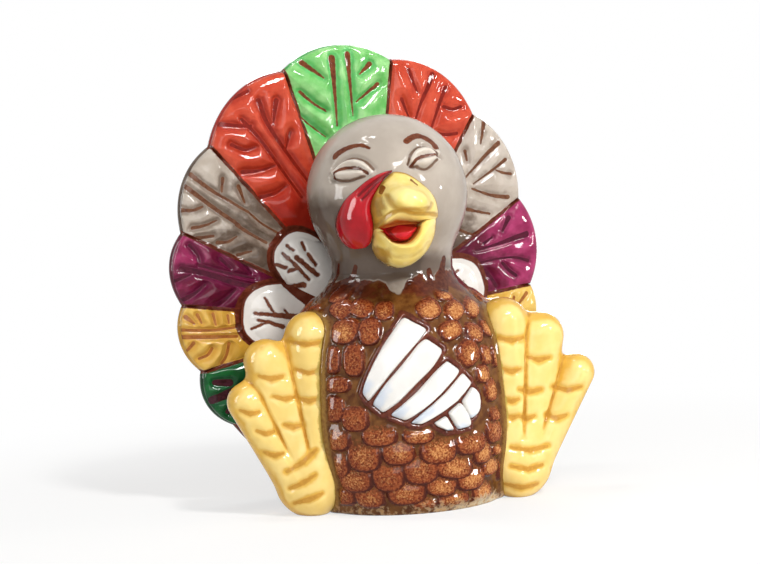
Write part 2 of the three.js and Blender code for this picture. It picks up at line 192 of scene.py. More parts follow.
def addPiece(name, grid, material, nodes, marks, ring=False):
    # a closed skin from a grid of points; marks are fields over the grid that the material's layers follow
    quads, caps = closedSkin(grid, ring)
    points = grid.reshape(-1, 3)
    threes = np.concatenate([caps, quads[:, [0, 1, 2]], quads[:, [0, 2, 3]]])
    a, b, c = (points[threes[:, k]] for k in range(3))
    if np.einsum("ij,ij->", a, np.cross(b, c)) < 0:  # a negative volume means the faces look inwards
        quads, caps = quads[:, ::-1], caps[:, ::-1]
    used, corners = np.unique(np.concatenate([quads.ravel(), caps.ravel()]), return_inverse=True)
    starts = np.concatenate([np.arange(len(quads)) * 4, len(quads) * 4 + np.arange(len(caps)) * 3])
    mesh = bpy.data.meshes.new(name)
    mesh.vertices.add(len(used))
    mesh.vertices.foreach_set("co", ((points[used] + figureShift) * toMetres).astype(np.float32).ravel())
    mesh.loops.add(len(corners))
    mesh.loops.foreach_set("vertex_index", corners.ravel().astype(np.int32))
    mesh.polygons.add(len(starts))
    mesh.polygons.foreach_set("loop_start", starts.astype(np.int32))
    mesh.polygons.foreach_set("use_smooth", np.ones(len(starts), bool))
    for mark, values in marks.items():
        field = mesh.attributes.new(mark, "FLOAT", "POINT")
        spread = np.broadcast_to(values, grid.shape[:2]).ravel()[used]
        field.data.foreach_set("value", spread.astype(np.float32))
    mesh.update(calc_edges=True)
    mesh.validate()
    mesh.materials.append(material)
    piece = bpy.data.objects.new(name, mesh)
    bpy.context.scene.collection.objects.link(piece)
    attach(piece, "root")
    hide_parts(*nodes)


# Materials. Every piece is slip-cast earthenware, painted with underglaze colours by brush and sponge and
# fired under one clear, glossy lead-free glaze: soft uneven colour below, a sharp even shine above

# the clear coat: size in mm of its slow swell and of its fine peel, the peel's share, height and strength of
# both, and how rough the coat and the colour under it are
coat = dict(swell=7, peel=1.1, peelShare=0.06, bump=0.4 * toMetres, strength=0.5, rough=0.03, underRough=0.6)
cloudRange = (0.36, 0.64)  # of a noise, between its first tone alone and its second alone


def linear(hexColour):
    value = np.array([int(hexColour[k:k + 2], 16) for k in (1, 3, 5)]) / 255
    rgb = np.where(value <= 0.04045, value / 12.92, ((value + 0.055) / 1.055) ** 2.4)
    return (*(float(part) for part in rgb), 1.0)


def addNode(tree, kind, inputs=None, **settings):
    node = tree.nodes.new(kind)
    for key, value in settings.items():
        setattr(node, key, value)
    for key, value in (inputs or {}).items():
        if isinstance(value, bpy.types.NodeSocket):
            tree.links.new(value, node.inputs[key])
        else:
            node.inputs[key].default_value = value
    return node


def maths(tree, operation, *values):
    return addNode(tree, "ShaderNodeMath", dict(enumerate(values)), operation=operation).outputs[0]


def remap(tree, value, low, high, to=(0, 1), kind="LINEAR"):
    ends = {"Value": value, "From Min": low, "From Max": high, "To Min": to[0], "To Max": to[1]}
    return addNode(tree, "ShaderNodeMapRange", ends, interpolation_type=kind).outputs["Result"]


def blend(tree, share, first, second):
    # a mix node keeps its two colours in inputs 6 and 7, and gives the result in output 2
    return addNode(tree, "ShaderNodeMix", {0: share, 6: first, 7: second}, data_type="RGBA").outputs[2]


def clouds(tree, place, size, detail):
    # noise with clouds of about the size in mm
    inputs = {"Vector": place, "Scale": 1000 / size, "Detail": detail}
    return addNode(tree, "ShaderNodeTexNoise", inputs).outputs["Fac"]


def newTree(owner):
    owner.use_nodes = True
    owner.node_tree.nodes.clear()
    return owner.node_tree


def glaze(name, ground, layers, shine=1.27):
    # ground: two tones and the size in mm of their clouds. Each layer is brushed on where the piece's mark is
    # near 1: its two tones, the size in mm of its mottle and how ragged its edge is. shine is the coat's IOR
    material = bpy.data.materials.new(name)
    tree = newTree(material)
    place = addNode(tree, "ShaderNodeTexCoord").outputs["Object"]
    first, second, size = ground
    share = remap(tree, clouds(tree, place, size, 4), *cloudRange)
    colour = blend(tree, share, linear(first), linear(second))
    for mark, first, second, size, ragged in layers:
        field = addNode(tree, "ShaderNodeAttribute", attribute_name=mark).outputs["Fac"]
        grain = remap(tree, clouds(tree, place, size, 3), *cloudRange)
        tone = blend(tree, grain, linear(first), linear(second))
        rough = maths(tree, "MULTIPLY_ADD", grain, ragged, field)
        cover = remap(tree, rough, 0.3 + ragged / 4, 0.7 + ragged * 3 / 4, kind="SMOOTHSTEP")
        cover = maths(tree, "MULTIPLY", cover, remap(tree, field, 0, 0.12))  # none where no brush went
        colour = blend(tree, cover, colour, tone)
    swell, peel = clouds(tree, place, coat["swell"], 1), clouds(tree, place, coat["peel"], 0)
    flow = maths(tree, "MULTIPLY_ADD", peel, coat["peelShare"], swell)
    wavy = {"Height": flow, "Strength": coat["strength"], "Distance": coat["bump"]}
    skin = addNode(tree, "ShaderNodeBump", wavy).outputs["Normal"]
    # the colour lies dull under the glaze, so all of the shine is the clear coat's
    shader = addNode(tree, "ShaderNodeBsdfPrincipled", {
        "Base Color": colour, "Roughness": coat["underRough"], "Specular IOR Level": 0.0, "Normal": skin,
        "Coat Weight": 1.0, "Coat Roughness": coat["rough"], "Coat IOR": shine, "Coat Normal": skin})
    addNode(tree, "ShaderNodeOutputMaterial", {"Surface": shader.outputs["BSDF"]})
    return material


# Camera and light, fitted to the photograph's 760 by 564 frame

# degrees and mm; focal length, middle of the picture and frame in pixels
shot = dict(yaw=-21.4, rise=3.5, roll=3.4823, distance=900, target=(0.637, -0.034, 95), sensor=36,
            focal=2095.832, centre=(398.956, 281.336), frame=(760, 564))


def standAt(turn, place):
    # three columns that say how it is turned, and where it stands in metres
    return Matrix([[*row, at] for row, at in zip(turn, place)] + [[0, 0, 0, 1]])


def placeCamera():
    yaw, rise, roll = np.radians([shot["yaw"], shot["rise"], shot["roll"]])
    towards = np.array([np.sin(yaw) * np.cos(rise), -np.cos(yaw) * np.cos(rise), np.sin(rise)])
    eye = np.array(shot["target"]) + shot["distance"] * towards
    right = unit(np.cross(-towards, [0, 0, 1]))
    up = np.cross(right, -towards)
    right, up = np.cos(roll) * right - np.sin(roll) * up, np.sin(roll) * right + np.cos(roll) * up
    # the axis is led through the middle of the frame, so the lens needs no shift
    off = [shot["frame"][k] / 2 - shot["centre"][k] for k in (0, 1)]
    ahead = unit(-towards * shot["focal"] + right * off[0] - up * off[1])
    right = unit(right - ahead * (right @ ahead))
    up = np.cross(right, ahead)
    lens = bpy.data.cameras.new("camera")
    lens.sensor_fit = "HORIZONTAL"
    lens.sensor_width = shot["sensor"]
    lens.lens = shot["focal"] / shot["frame"][0] * shot["sensor"]
    lens.clip_end = 50
    camera = bpy.data.objects.new("camera", lens)
    camera.matrix_world = standAt(np.stack([right, up, -ahead], 1), eye * toMetres)
    bpy.context.scene.collection.objects.link(camera)
    bpy.context.scene.camera = camera


# places and sizes in metres, power in watts; a card only shows in the glaze's shine
lampAim = np.array([0, 0, 0.1])
lamps = {
    "keySoftbox": dict(place=(0.18, -0.93, 1.1), size=(0.15, 0.21), power=13.0, card=False),
    "frontFill": dict(place=(-0.45, -1.35, 0.5), size=(0.7, 0.7), power=6.4, card=False),
    "topStrip": dict(place=(-0.24, 0.24, 1.28), size=(0.035, 0.36), power=2.4, card=False),
    "rightSpot": dict(place=(0.95, -0.6, 0.22), size=(0.09, 0.12), power=2.8, card=False),
    "backFill": dict(place=(0.5, 1.3, 0.3), size=(0.6, 0.6), power=7.0, card=False),
    "leftWindow": dict(place=(-1.06, 0.06, 0.46), size=(0.26, 0.8), power=10.5, card=True),
    "keyPanel": dict(place=(0.2, -1.03, 1.13), size=(0.72, 0.17), power=24.0, card=True),
    "sideWindow": dict(place=(0.72, -1.06, 0.6), size=(0.16, 0.26), power=8.5, card=True),
}


def placeLamps():
    for name, lamp in lamps.items():
        light = bpy.data.lights.new(name, "AREA")
        light.shape = "RECTANGLE"
        light.size, light.size_y = lamp["size"]
        light.energy = lamp["power"]
        back = unit(lamp["place"] - lampAim)
        side = unit(np.cross([0, 0, 1], back))
        holder = bpy.data.objects.new(name, light)
        holder.visible_diffuse = not lamp["card"]
        holder.matrix_world = standAt(np.stack([side, np.cross(back, side), back], 1), lamp["place"])
        bpy.context.scene.collection.objects.link(holder)


# how much light the sky gives, the floor's half width, and the distances in metres between which the floor's
# own white grows from glowNear to all that is seen
studio = dict(skyLight=0.3, floorHalf=4, paper="#f4f3f1", shadowNear=0.14, shadowFar=0.4, glowNear=0.62)


def seenRays(tree):
    # 1 for rays that the eye follows: straight, by reflection or through something clear
    path = addNode(tree, "ShaderNodeLightPath").outputs
    some = maths(tree, "MAXIMUM", path["Is Camera Ray"], path["Is Glossy Ray"])
    return maths(tree, "MAXIMUM", some, path["Is Transmission Ray"])


def placeStudio():
    world = bpy.data.worlds.new("studio")
    tree = newTree(world)
    level = remap(tree, seenRays(tree), 0, 1, (studio["skyLight"], 1))
    sky = addNode(tree, "ShaderNodeBackground", {"Color": (1, 1, 1, 1), "Strength": level})
    addNode(tree, "ShaderNodeOutputWorld", {"Surface": sky.outputs[0]})
    bpy.context.scene.world = world
    # the floor shows white, and near the figure it keeps part of the figure's shadow
    paper = bpy.data.materials.new("white backdrop paper")
    tree = newTree(paper)
    place = addNode(tree, "ShaderNodeTexCoord").outputs["Object"]
    away = addNode(tree, "ShaderNodeVectorMath", {0: place}, operation="LENGTH").outputs["Value"]
    fade = remap(tree, away, studio["shadowNear"], studio["shadowFar"], (studio["glowNear"], 1), "SMOOTHSTEP")
    share = maths(tree, "MULTIPLY", fade, seenRays(tree))
    matt = addNode(tree, "ShaderNodeBsdfDiffuse", {"Color": linear(studio["paper"])})
    glow = addNode(tree, "ShaderNodeEmission", {"Color": (1, 1, 1, 1), "Strength": 1.0})
    both = addNode(tree, "ShaderNodeMixShader", {0: share, 1: matt.outputs[0], 2: glow.outputs[0]})
    addNode(tree, "ShaderNodeOutputMaterial", {"Surface": both.outputs[0]})
    mesh = bpy.data.meshes.new("floor")
    half = studio["floorHalf"]
    corners = [(-half, -half, 0), (half, -half, 0), (half, half, 0), (-half, half, 0)]
    mesh.from_pydata(corners, [], [(0, 1, 2, 3)])
    mesh.materials.append(paper)
    floor = bpy.data.objects.new("floor", mesh)
    bpy.context.scene.collection.objects.link(floor)


placeCamera()
placeLamps()
placeStudio()
bpy.context.scene.view_settings.view_transform = "Standard"
print("camera, lamps and floor placed")


# The body: an egg turned about the upright, flattened a little front to back and leaning back to the neck

body = dict(height=100, base=39, belly=47, bellyAt=42, neck=26.5, fullness=2.6, depth=0.92, lean=8, wall=5,
            ringWidth=8, ringHeight=6, ringRound=0.6, around=440, rowsOut=190, rowsIn=14, scaleRise=2.2,
            scaleSquare=2.7, baseRound=0.8, greyThick=0.5, slipFill=1.5, shoulder=3)


def bodyRadius(z):
    # below the belly a quarter sine from base to belly, above it half a cosine to the neck that starts late
    swell = np.sin(np.clip(z / body["bellyAt"], 0, 1) * np.pi / 2)
    climb = np.clip((z - body["bellyAt"]) / (body["height"] - body["bellyAt"]), 0, 1) ** body["fullness"]
    above = mix(body["neck"], body["belly"], (1 + np.cos(np.pi * climb)) / 2)
    return np.where(z < body["bellyAt"], mix(body["base"], body["belly"], swell), above)


def leanAt(z):
    return body["lean"] * z / body["height"]


def ringAt(angle, z, radius):
    # radians from the front towards the bird's left
    return pointsOf(radius * np.sin(angle), leanAt(z) - body["depth"] * radius * np.cos(angle), z)


def bodyPoint(angle, z, out):
    return ringAt(angle, z, bodyRadius(z) + out)


def bodyBack(x, z, gap):
    # how far back the body reaches at a place seen from behind; far in front where it isn't there
    radius = bodyRadius(z) + gap
    room = 1 - (x / radius) ** 2
    y = leanAt(z) + body["depth"] * radius * rootOf(room)
    return np.where((room > 0) & (z < body["height"]), y, -far)


# The wing's feathers: the line of each long side, root to tip, as (degrees round from the front, height).
# spread widens each one past those lines, and square says how full its corners are
wing = dict(rise=3.0, seat=0.1, square=0.24, around=160, rings=26,
            spread=(1.18, 1.26, 1.3, 1.3, 1.12, 1.12, 1.12), feathers=dict(
    wing_feather_1=([(-15.4, 82.4), (-26, 72), (-32.5, 64.2), (-37, 57.8), (-40.3, 51.8)],
                    [(-4, 76.9), (-10.1, 72.6), (-24.1, 61.2), (-32.6, 53.4), (-37.8, 48.6)]),
    wing_feather_2=([(-4.8, 72.8), (-10.7, 68.9), (-19.2, 61.7), (-27.6, 54.8), (-35.7, 47.1)],
                    [(2.6, 68.1), (-5.8, 60.9), (-14.2, 55), (-22.5, 48.9), (-31.1, 43.8)]),
    wing_feather_3=([(4.7, 63), (-3.2, 57.8), (-11.7, 51.4), (-19.9, 46.2), (-26.8, 42.4)],
                    [(10.2, 59.2), (5.9, 55.8), (-2.1, 50), (-9.5, 45.5), (-20.4, 40)]),
    wing_feather_4=([(12.7, 57.2), (9, 54.6), (2, 49.6), (-5.6, 45.2), (-17.4, 38.8)],
                    [(16.6, 53.7), (13.1, 51), (6.9, 46.6), (-1.9, 42.5), (-12.7, 38)]),
    wing_short_1=([(10.5, 45.9), (12.1, 42.9), (13.5, 40.3), (14.8, 38.1)],
                  [(17.4, 51.3), (20.6, 47.4), (20.3, 42.9), (17.6, 39.4)]),
    wing_short_2=([(2.3, 41.9), (3.9, 39.2), (5.6, 36.5), (7.3, 34.4)],
                  [(9, 45.5), (11.4, 42.2), (13.6, 38.2), (13.6, 34.9)]),
    wing_short_3=([(-5.6, 38.2), (-3.3, 36.5), (-1.1, 35.5), (0.9, 34.5)],
                  [(0.5, 40.6), (1.8, 38.5), (3.1, 36.5), (4.1, 34.6)])))
wingPatch = dict(middle=-0.2, half=0.75, low=25, high=92)  # radians round and heights that hold the wing

# The feet: root and tip of three toes and the heel as (outwards from the heel, height), with the radius at
# each end. reach, steps and halvings lead the search for the outline
feet = dict(heelRadius=11, toeRadius=9.3, heelHeight=10.2, sink=6.5, forward=8, seamForward=11, turn=11,
            around=600, rings=104, ringsBehind=24, middle=(-1.5, 12), reach=(4, 84), steps=321, halvings=14,
            blend=6, crease=0.7, cleft=1.5, gap=0.25, limbs=dict(
                right=[((-6, 16), (-4.6, 75), 11, 10.6), ((1, 14), (14.5, 66), 9.5, 9.4),
                       ((4, 13), (23.8, 49.4), 9, 8.2), ((-1.5, 10.2), (-1.5, 20.4), 12.4, 12)],
                left=[((-6, 16), (-4.2, 75), 11, 10.6), ((1, 14), (12, 68), 9.5, 10.2),
                      ((4, 13), (27, 51), 9, 8), ((-1.5, 10.2), (-1.5, 20.4), 12.4, 12)]))
heelSide = float(bodyRadius(np.array(feet["heelHeight"]))) + feet["heelRadius"] - feet["sink"]


def turnedFoot(x, y, z):
    # the pair of feet is turned about the body's axis, towards the bird's right
    c, s = np.cos(np.radians(feet["turn"])), np.sin(np.radians(feet["turn"]))
    return pointsOf(c * x + s * y, c * y - s * x, z)


# The breast's scales that lie between the feet: degrees round, height, half width, half height and slant
# in degrees
breastScales = [
    (-63, 92, 4.3, 3.1, 0), (17, 89, 3.6, 1.9, 0), (-56, 86.4, 5.2, 3.4, -25), (-42, 86.3, 4.9, 3.2, -20),
    (-27, 84.9, 3.6, 3.4, 0), (1, 84.3, 5.3, 3.7, 20), (18, 83, 5.4, 3.1, 30), (33, 83, 5.4, 2.8, 30),
    (-50, 77.4, 6, 4.7, 0), (-35, 77.1, 4.4, 5.1, 0), (10, 75.3, 5.4, 3.5, 20), (25, 73.1, 4.4, 3.8, -20),
    (36, 74, 3.8, 3.2, -20), (-57, 65.8, 4, 5.2, 0), (-44, 65.7, 4.5, 6.2, 0), (18, 65.1, 5.6, 4.9, 30),
    (30, 63.3, 2.9, 3.9, 0), (38, 62, 2.3, 4.3, 0), (-55, 55.6, 6.1, 3, 0), (26, 55.7, 3.7, 3.5, 0),
    (-59, 45.6, 5.8, 5, 0), (-46, 41.4, 5.6, 4.6, 0), (31, 48.5, 3.6, 4.6, 0), (33, 38.2, 3, 2.6, 0),
    (-34, 34.3, 6.2, 3.7, 0), (-14, 33.6, 5.4, 3, 0), (-60, 33.3, 6.8, 4.4, 0), (32, 31.6, 4.5, 4.7, 0),
    (-44, 26, 6.3, 5.7, 0), (-25, 27.2, 5.7, 4.7, 0), (-4, 26.5, 6.6, 4.7, 0), (15, 28.1, 6.4, 4.2, 0),
    (-63, 22.3, 6.4, 5.2, 0), (-14, 19.2, 6, 5.4, 0), (5, 19, 7.2, 4.4, -10), (23, 23.2, 4.5, 4.1, 0),
    (30, 16.6, 4.4, 3.5, 0), (35, 23.2, 2.5, 2.2, 0), (-52, 16.1, 6.7, 4.9, 0), (-32, 17.3, 5.6, 5.8, 0),
    (-3, 11.5, 5.7, 3.8, -10), (16, 13.2, 6.1, 4.5, 0), (-64, 9.5, 6, 4.3, 0), (-45, 8.5, 5.6, 4.2, 0),
    (-23, 10.1, 6.7, 4.8, 0), (5, 4.7, 6.2, 3.4, 0), (26, 5.9, 4.9, 4.2, 0), (-13, 4, 4.1, 2.8, 0)]
# The scales of the sides and back lie in rows: lowest and highest height, step up, number in a full row, half
# width on the belly, half height, and the degrees that the breast's own scales take up
scaleRows = dict(low=6, high=93, step=8.7, count=20, halfWidth=5.9, halfHeight=4.9, breast=(-74, 46))


def otherScales():
    # staggered rows, each scale a little off its place
    rows = []
    pitch = 360 / scaleRows["count"]
    for k, level in enumerate(np.arange(scaleRows["low"], scaleRows["high"], scaleRows["step"])):
        for n in range(scaleRows["count"]):
            centre = (n + (k % 2) / 2) * pitch - 180 + dice.normal(0, 1.2)
            if scaleRows["breast"][0] < centre < scaleRows["breast"][1]:
                continue
            narrow = float(bodyRadius(np.array(level))) / body["belly"]
            rows.append((centre, level + dice.normal(0, 0.7),
                         scaleRows["halfWidth"] * narrow * dice.uniform(0.9, 1.1),
                         scaleRows["halfHeight"] * dice.uniform(0.9, 1.1), dice.normal(0, 7)))
    return rows


def scaleField(angle, z):
    # each scale is a rounded oval with a steep edge, lowest at its top; the highest one counts at each place.
    # On the lower belly they lie like tiles, so each is larger and sinks in towards its top
    radius = bodyRadius(z)
    lift, cover, rim, goldAndPaintedLight = (np.zeros(angle.shape) for _ in range(4))
    for centre, level, halfWidth, halfHeight, slant in breastScales + otherScales():
        across = ((angle - np.radians(centre) + np.pi) % (2 * np.pi) - np.pi) * radius
        c, s = np.cos(np.radians(slant)), np.sin(np.radians(slant))
        tiled = smooth(46, 34, level)
        grow = mix(1.15, 1.27, tiled)
        p = (c * across + s * (z - level)) / (halfWidth * grow)
        q = (c * (z - level) - s * across) / (halfHeight * grow)
        off = ovalSize(p, q, body["scaleSquare"])
        tile = tiled * smooth(-0.1, 0.9, q)
        dome = mix(0.72, 1, rootOf(1 - off ** 2))
        rise = smooth(1.05, 0.85, off) * dome * (0.86 - 0.14 * q) * (1 - 0.85 * tile)
        # gold is sponged on, and the extra on the bird's left and high on the breast is painted light where
        # the light falls
        shine = mix(0.7, 1.6, smooth(-35, 25, centre)) * mix(1, 1.5, smooth(55, 85, level))
        spongeAndPaintedLight = smooth(0.95, 0.2, off) * mix(1.15, 0.8, smooth(-0.6, 0.6, q))
        spongeAndPaintedLight *= dice.uniform(0.25, 0.7) * shine
        higher = rise > lift
        lift = np.where(higher, rise, lift)
        cover = np.where(higher, smooth(1.04, 0.93, off) * (1 - 0.7 * tile), cover)
        # rim: a dark edge round each scale, stronger towards its lower edge, where it is painted shade under
        # the scale
        rim = np.where(higher, smooth(0.74, 0.92, off) * mix(0.6, 1.1, smooth(0.5, -0.4, q)), rim)
        goldAndPaintedLight = np.where(higher, spongeAndPaintedLight, goldAndPaintedLight)
    return lift, cover, rim, goldAndPaintedLight


# Where the grey glaze of the head ends on the neck, with its drip in front: degrees round, height
greyEdge = np.array([
    (-180, 96.5), (-140, 97), (-101, 96.2), (-80, 96.6), (-69, 97.1), (-52, 97.6), (-38, 97.3), (-30, 97),
    (-26, 96), (-23.5, 93.6), (-21, 92), (-18, 91.4), (-15, 91.8), (-12, 93.2), (-9.5, 95.4), (-7, 96.6),
    (-2, 97.4), (2, 98), (6, 99.2), (8.6, 99.3), (10, 96.6), (11.3, 95.6), (12.6, 97.4), (14, 99),
    (16, 99), (17.4, 95.6), (18.6, 95), (20.4, 97.5), (24, 98.5), (30, 99.4), (45, 99), (60, 98),
    (90, 97), (135, 96), (180, 96.5)])
# Dark strokes brushed up over it: the line as (degrees round, height), and the width in mm at each end
neckStrokes = [
    ([(-86, 94), (-83, 99), (-79.5, 103.8)], 3.9, 1.7),
    ([(-75, 95), (-61, 98), (-55.7, 103)], 4.16, 2.04),
    ([(11.5, 93.5), (14.5, 96), (16.5, 99.4)], 3.38, 2.72),
    ([(22, 93), (31, 97), (38.5, 103.6)], 5.98, 3.4), ([(50, 93), (56, 98), (59, 103)], 5.2, 2.55),
    ([(75, 94), (79, 99), (78, 103)], 4.55, 2.04), ([(100, 94), (104, 98), (104, 102)], 5.2, 2.04),
    ([(130, 94), (133, 99)], 5.2, 2.55), ([(160, 94), (165, 99)], 5.2, 2.55),
    ([(-108, 94), (-104, 99), (-103, 103)], 4.55, 2.04), ([(-135, 94), (-131, 99)], 5.2, 2.55),
    ([(-165, 94), (-160, 99)], 5.2, 2.55)]
neckBand = (88, 110)  # heights that the strokes lie between


def neckField(angle, z):
    # distance outside the dark strokes, on the neck unrolled at its own radius
    flat = pointsOf(angle * body["neck"], z)
    unrolled = np.array([np.radians(body["neck"]), 1])
    best = np.full(flat.shape[:-1], far)
    near = (flat[..., 1] > neckBand[0]) & (flat[..., 1] < neckBand[1])
    strokes = [(np.array(path) * unrolled, *widths) for path, *widths in neckStrokes]
    best[near] = nearest(flat[near], strokes)
    return best


def onBelly(places):
    # degrees and height to the unrolled skin, in mm
    places = np.asarray(places, float)
    return np.stack([np.radians(places[..., 0]) * bodyRadius(places[..., 1]), places[..., 1]], -1)


def wingDistance(angle, z):
    # distance outside the nearest wing feather, on the unrolled skin
    best = np.full(angle.shape, far)
    near = (np.abs(angle - wingPatch["middle"]) < wingPatch["half"])
    near = near & (z > wingPatch["low"]) & (z < wingPatch["high"])
    flat = np.stack([angle * bodyRadius(z), z], -1)[near]
    for left, right in wing["feathers"].values():
        outline = np.concatenate([curveThrough(left, 3), curveThrough(right, 3)[::-1]])
        best[near] = np.minimum(best[near], outsideOf(flat, onBelly(outline)))
    return best


def footDistance(points):
    # distance outside the nearest limb of both feet, taken a little in front of their middle
    limbs = []
    for sign, side in ((-1, "right"), (1, "left")):
        for root, tip, rootRadius, tipRadius in feet["limbs"][side]:
            ends = [turnedFoot(sign * (heelSide + p[0]), -feet["seamForward"], p[1]) for p in (root, tip)]
            limbs.append((ends, 2 * rootRadius, 2 * tipRadius))
    return nearest(points, limbs)


# The head's grey, also where it runs down over the body: its two tones, and two layers of painted shade over
# it
greyTones = ("#b4a99d", "#a69b8f")
greyLayers = [("faintShade", "#968a7f", "#8c8075", 24, 0.15), ("paintedShade", "#57493f", "#685b51", 18, 0.3)]
neckLayer = ("stroke", "#42190e", "#5c2e1a", 1.6, 0.4)
wingLineTones = ("#6a3424", "#50241a")  # brown between the wing's feathers


def greyPaintedShade(points):
    # near 1 where shade is painted on the grey: low on the neck and round the cheeks, most on the bird's
    # right
    return smooth(0.1, 0.9, -0.016 * points[..., 0] - 0.026 * (points[..., 2] - 132))


def greyFaintShade(points):
    # a fainter painted shade that comes up towards the bird's left
    return 0.62 * smooth(8, 32, points[..., 0])


def makeBody():
    # rows run up the outside, down the inside and round the standing ring, and close in a ring
    top = body["height"] - 0.02
    z = np.concatenate([[0, 0.25], np.linspace(0.7, top - 0.1, body["rowsOut"]), [top]])[:, None]
    angle, z = np.broadcast_arrays(turnsRound(body["around"], -np.pi)[None, :], z)
    degrees = np.degrees(angle)
    wingOff, footOff = wingDistance(angle, z), footDistance(bodyPoint(angle, z, 0))
    overGrey = z - np.interp(degrees, *greyEdge.T) - 0.2 * np.sin(31 * angle) - 0.15 * np.sin(53 * angle + 1)
    plain = smooth(1.9, 3.2, wingOff) * smooth(1.8, 4.6, footOff) * smooth(0.5, 5, z) * smooth(97, 92, z)
    lift, cover, rim, goldAndPaintedLight = (field * plain for field in scaleField(angle, z))
    out = body["scaleRise"] * lift - body["baseRound"] * smooth(0.8, 0, z)
    # the grey glaze lies thick over the brown; slip fills the lines of the wing and the corners of the feet
    out = out + body["greyThick"] * smooth(-1.4, 0.9, overGrey) * smooth(100, 96.5, z)
    out = out + body["slipFill"] * smooth(3, 1.4, wingOff) * smooth(-0.3, 0.5, wingOff)
    out = out + body["slipFill"] * bell(footOff - 0.7, 1.7)
    out = out + body["shoulder"] * bell(degrees + 82, 28) * bell(z - 87, 8)  # fuller over the right foot
    outer = bodyPoint(angle, z, out)
    inner = bodyPoint(angle[:1], np.linspace(top, body["ringHeight"], body["rowsIn"])[:, None], -body["wall"])
    ringIn = body["base"] - body["ringWidth"]
    ringRadius = np.array([[ringIn], [ringIn], [ringIn + body["ringRound"]]])
    stand = ringAt(angle[:1], np.array([[body["ringHeight"]], [body["ringRound"]], [0]]), ringRadius)
    grid = np.concatenate([outer, inner, stand])
    hidden = np.zeros((len(inner) + len(stand), body["around"]))
    pale = mix(0.25, 1, smooth(-25, 25, degrees) * smooth(150, 90, degrees))
    ruff = smooth(88.5, 92.5, z + 1.1 * np.sin(9 * angle + 1))
    drip = smooth(-1.2, 0.9, overGrey)
    # the grey drip carries the head's two layers of painted shade
    marks = dict(
        scale=cover, goldAndPaintedLight=goldAndPaintedLight, rim=rim * smooth(0, 0.25, lift), joint=smooth(3.6, 0.6, footOff),
        wingLine=smooth(2.5, 2.0, wingOff + 0.35 * np.sin(23 * angle) * np.sin(0.9 * z)),
        ruff=ruff * mix(0.6, 1, smooth(-0.6, 0.6, np.sin(7 * angle + 2.2))), drip=drip,
        faintShade=drip * greyFaintShade(outer), paintedShade=drip * greyPaintedShade(outer) * mix(0.25, 1, smooth(94, 100, z)),
        stroke=smooth(0.4, -0.4, neckField(angle, z)),
        bare=pale * smooth(6.5, 0.5, z + 1.1 * np.sin(9 * angle) + 0.9 * np.sin(23 * angle + 1)))
    marks = {mark: np.concatenate([values, hidden + (mark == "bare")]) for mark, values in marks.items()}
    # sponged red-brown scales over an olive-brown wash, with gold that is partly painted light and dark rims
    # that are partly painted shade; cream clay shows at the foot rim
    finish = glaze("sponged brown glazed earthenware", ("#744a22", "#522c11", 4), [
        ("scale", "#5c1e0d", "#964e28", 0.9, 0.4), ("goldAndPaintedLight", "#9c5428", "#c88e54", 0.8, 0.5),
        ("rim", "#3e150b", "#582412", 1.2, 0.5), ("joint", "#8e6c30", "#7a5526", 1.6, 0.4),
        ("ruff", "#4a1c10", "#64301a", 2.2, 0.5), ("wingLine", *wingLineTones, 1.6, 0.25),
        ("drip", *greyTones, 3, 0.3), *greyLayers, neckLayer, ("bare", "#d8ceb2", "#b08a5c", 1.8, 0.9)])
    addPiece("painted_body", grid, finish, ["body_shell"], marks, ring=True)


makeBody()
print("body made")


# The head: a ball blended into the neck, with the closed eyes' lids and creases pressed into it

head = dict(radius=34.6, centre=(-2.5, 2.6, 132.4), rise=32.4, shift=2.5, fillet=6, turn=15.5, tilt=6, wall=5,
            around=440, rowsOut=190, rowsIn=16, upperLid=2.3, lowerLid=1.9, slit=1.8, crease=1.5, brow=0.35)
headCentre = np.array(head["centre"])
turn, tilt = np.radians([head["turn"], head["tilt"]])
turned = np.array([[np.cos(turn), np.sin(turn), 0], [-np.sin(turn), np.cos(turn), 0], [0, 0, 1]])
tilted = np.array([[np.cos(tilt), 0, -np.sin(tilt)], [0, 1, 0], [np.sin(tilt), 0, np.cos(tilt)]])
faceTurn = turned @ tilted


def onFace(side, forward, up):
    # from the face's own side, forward and up to the figure, turned and tilted with the head
    return pointsOf(side, -np.asarray(forward), up) @ faceTurn.T + headCentre


def onHead(side, up):
    # degrees from the middle of the face and up, on the ball
    side, up = np.radians(side), np.radians(up)
    level = head["radius"] * np.cos(up)
    return onFace(level * np.sin(side), level * np.cos(side), head["radius"] * np.sin(up))


def headSection(z, grow):
    # the ball's radius at a height from its centre; below it the neck's, joined by a soft maximum
    ball = rootOf((head["radius"] + grow) ** 2 - z ** 2)
    neck = body["neck"] + grow
    meet = np.maximum(head["fillet"] - np.abs(ball - neck), 0)
    return np.where(z > 0, ball, np.maximum(ball, neck) + meet ** 2 / (4 * head["fillet"]))


def headRows(grow, count):
    # the profile from the top down to the neck joint, in steps of equal length
    fine = 300
    angle = np.linspace(0, np.pi / 2, fine)
    z = np.concatenate([(head["radius"] + grow) * np.cos(angle), np.linspace(0, -head["rise"], fine)[1:]])
    radius = headSection(z, grow)
    radius[0] = 0
    length = np.concatenate([[0], np.cumsum(np.hypot(np.diff(radius), np.diff(z)))])
    even = np.linspace(0, length[-1], count)
    return np.interp(even, length, radius)[:, None], np.interp(even, length, z)[:, None]


def headPlace(radius, z, angle):
    # a ring of the profile; towards the neck it is drawn to the body's own middle and flatness
    drop = smooth(0, head["rise"], -z)
    x = radius * np.sin(angle) + head["shift"] * drop
    y = -radius * np.cos(angle) * mix(1, body["depth"], drop) + (body["lean"] - headCentre[1]) * drop
    return pointsOf(x, y, z) + headCentre


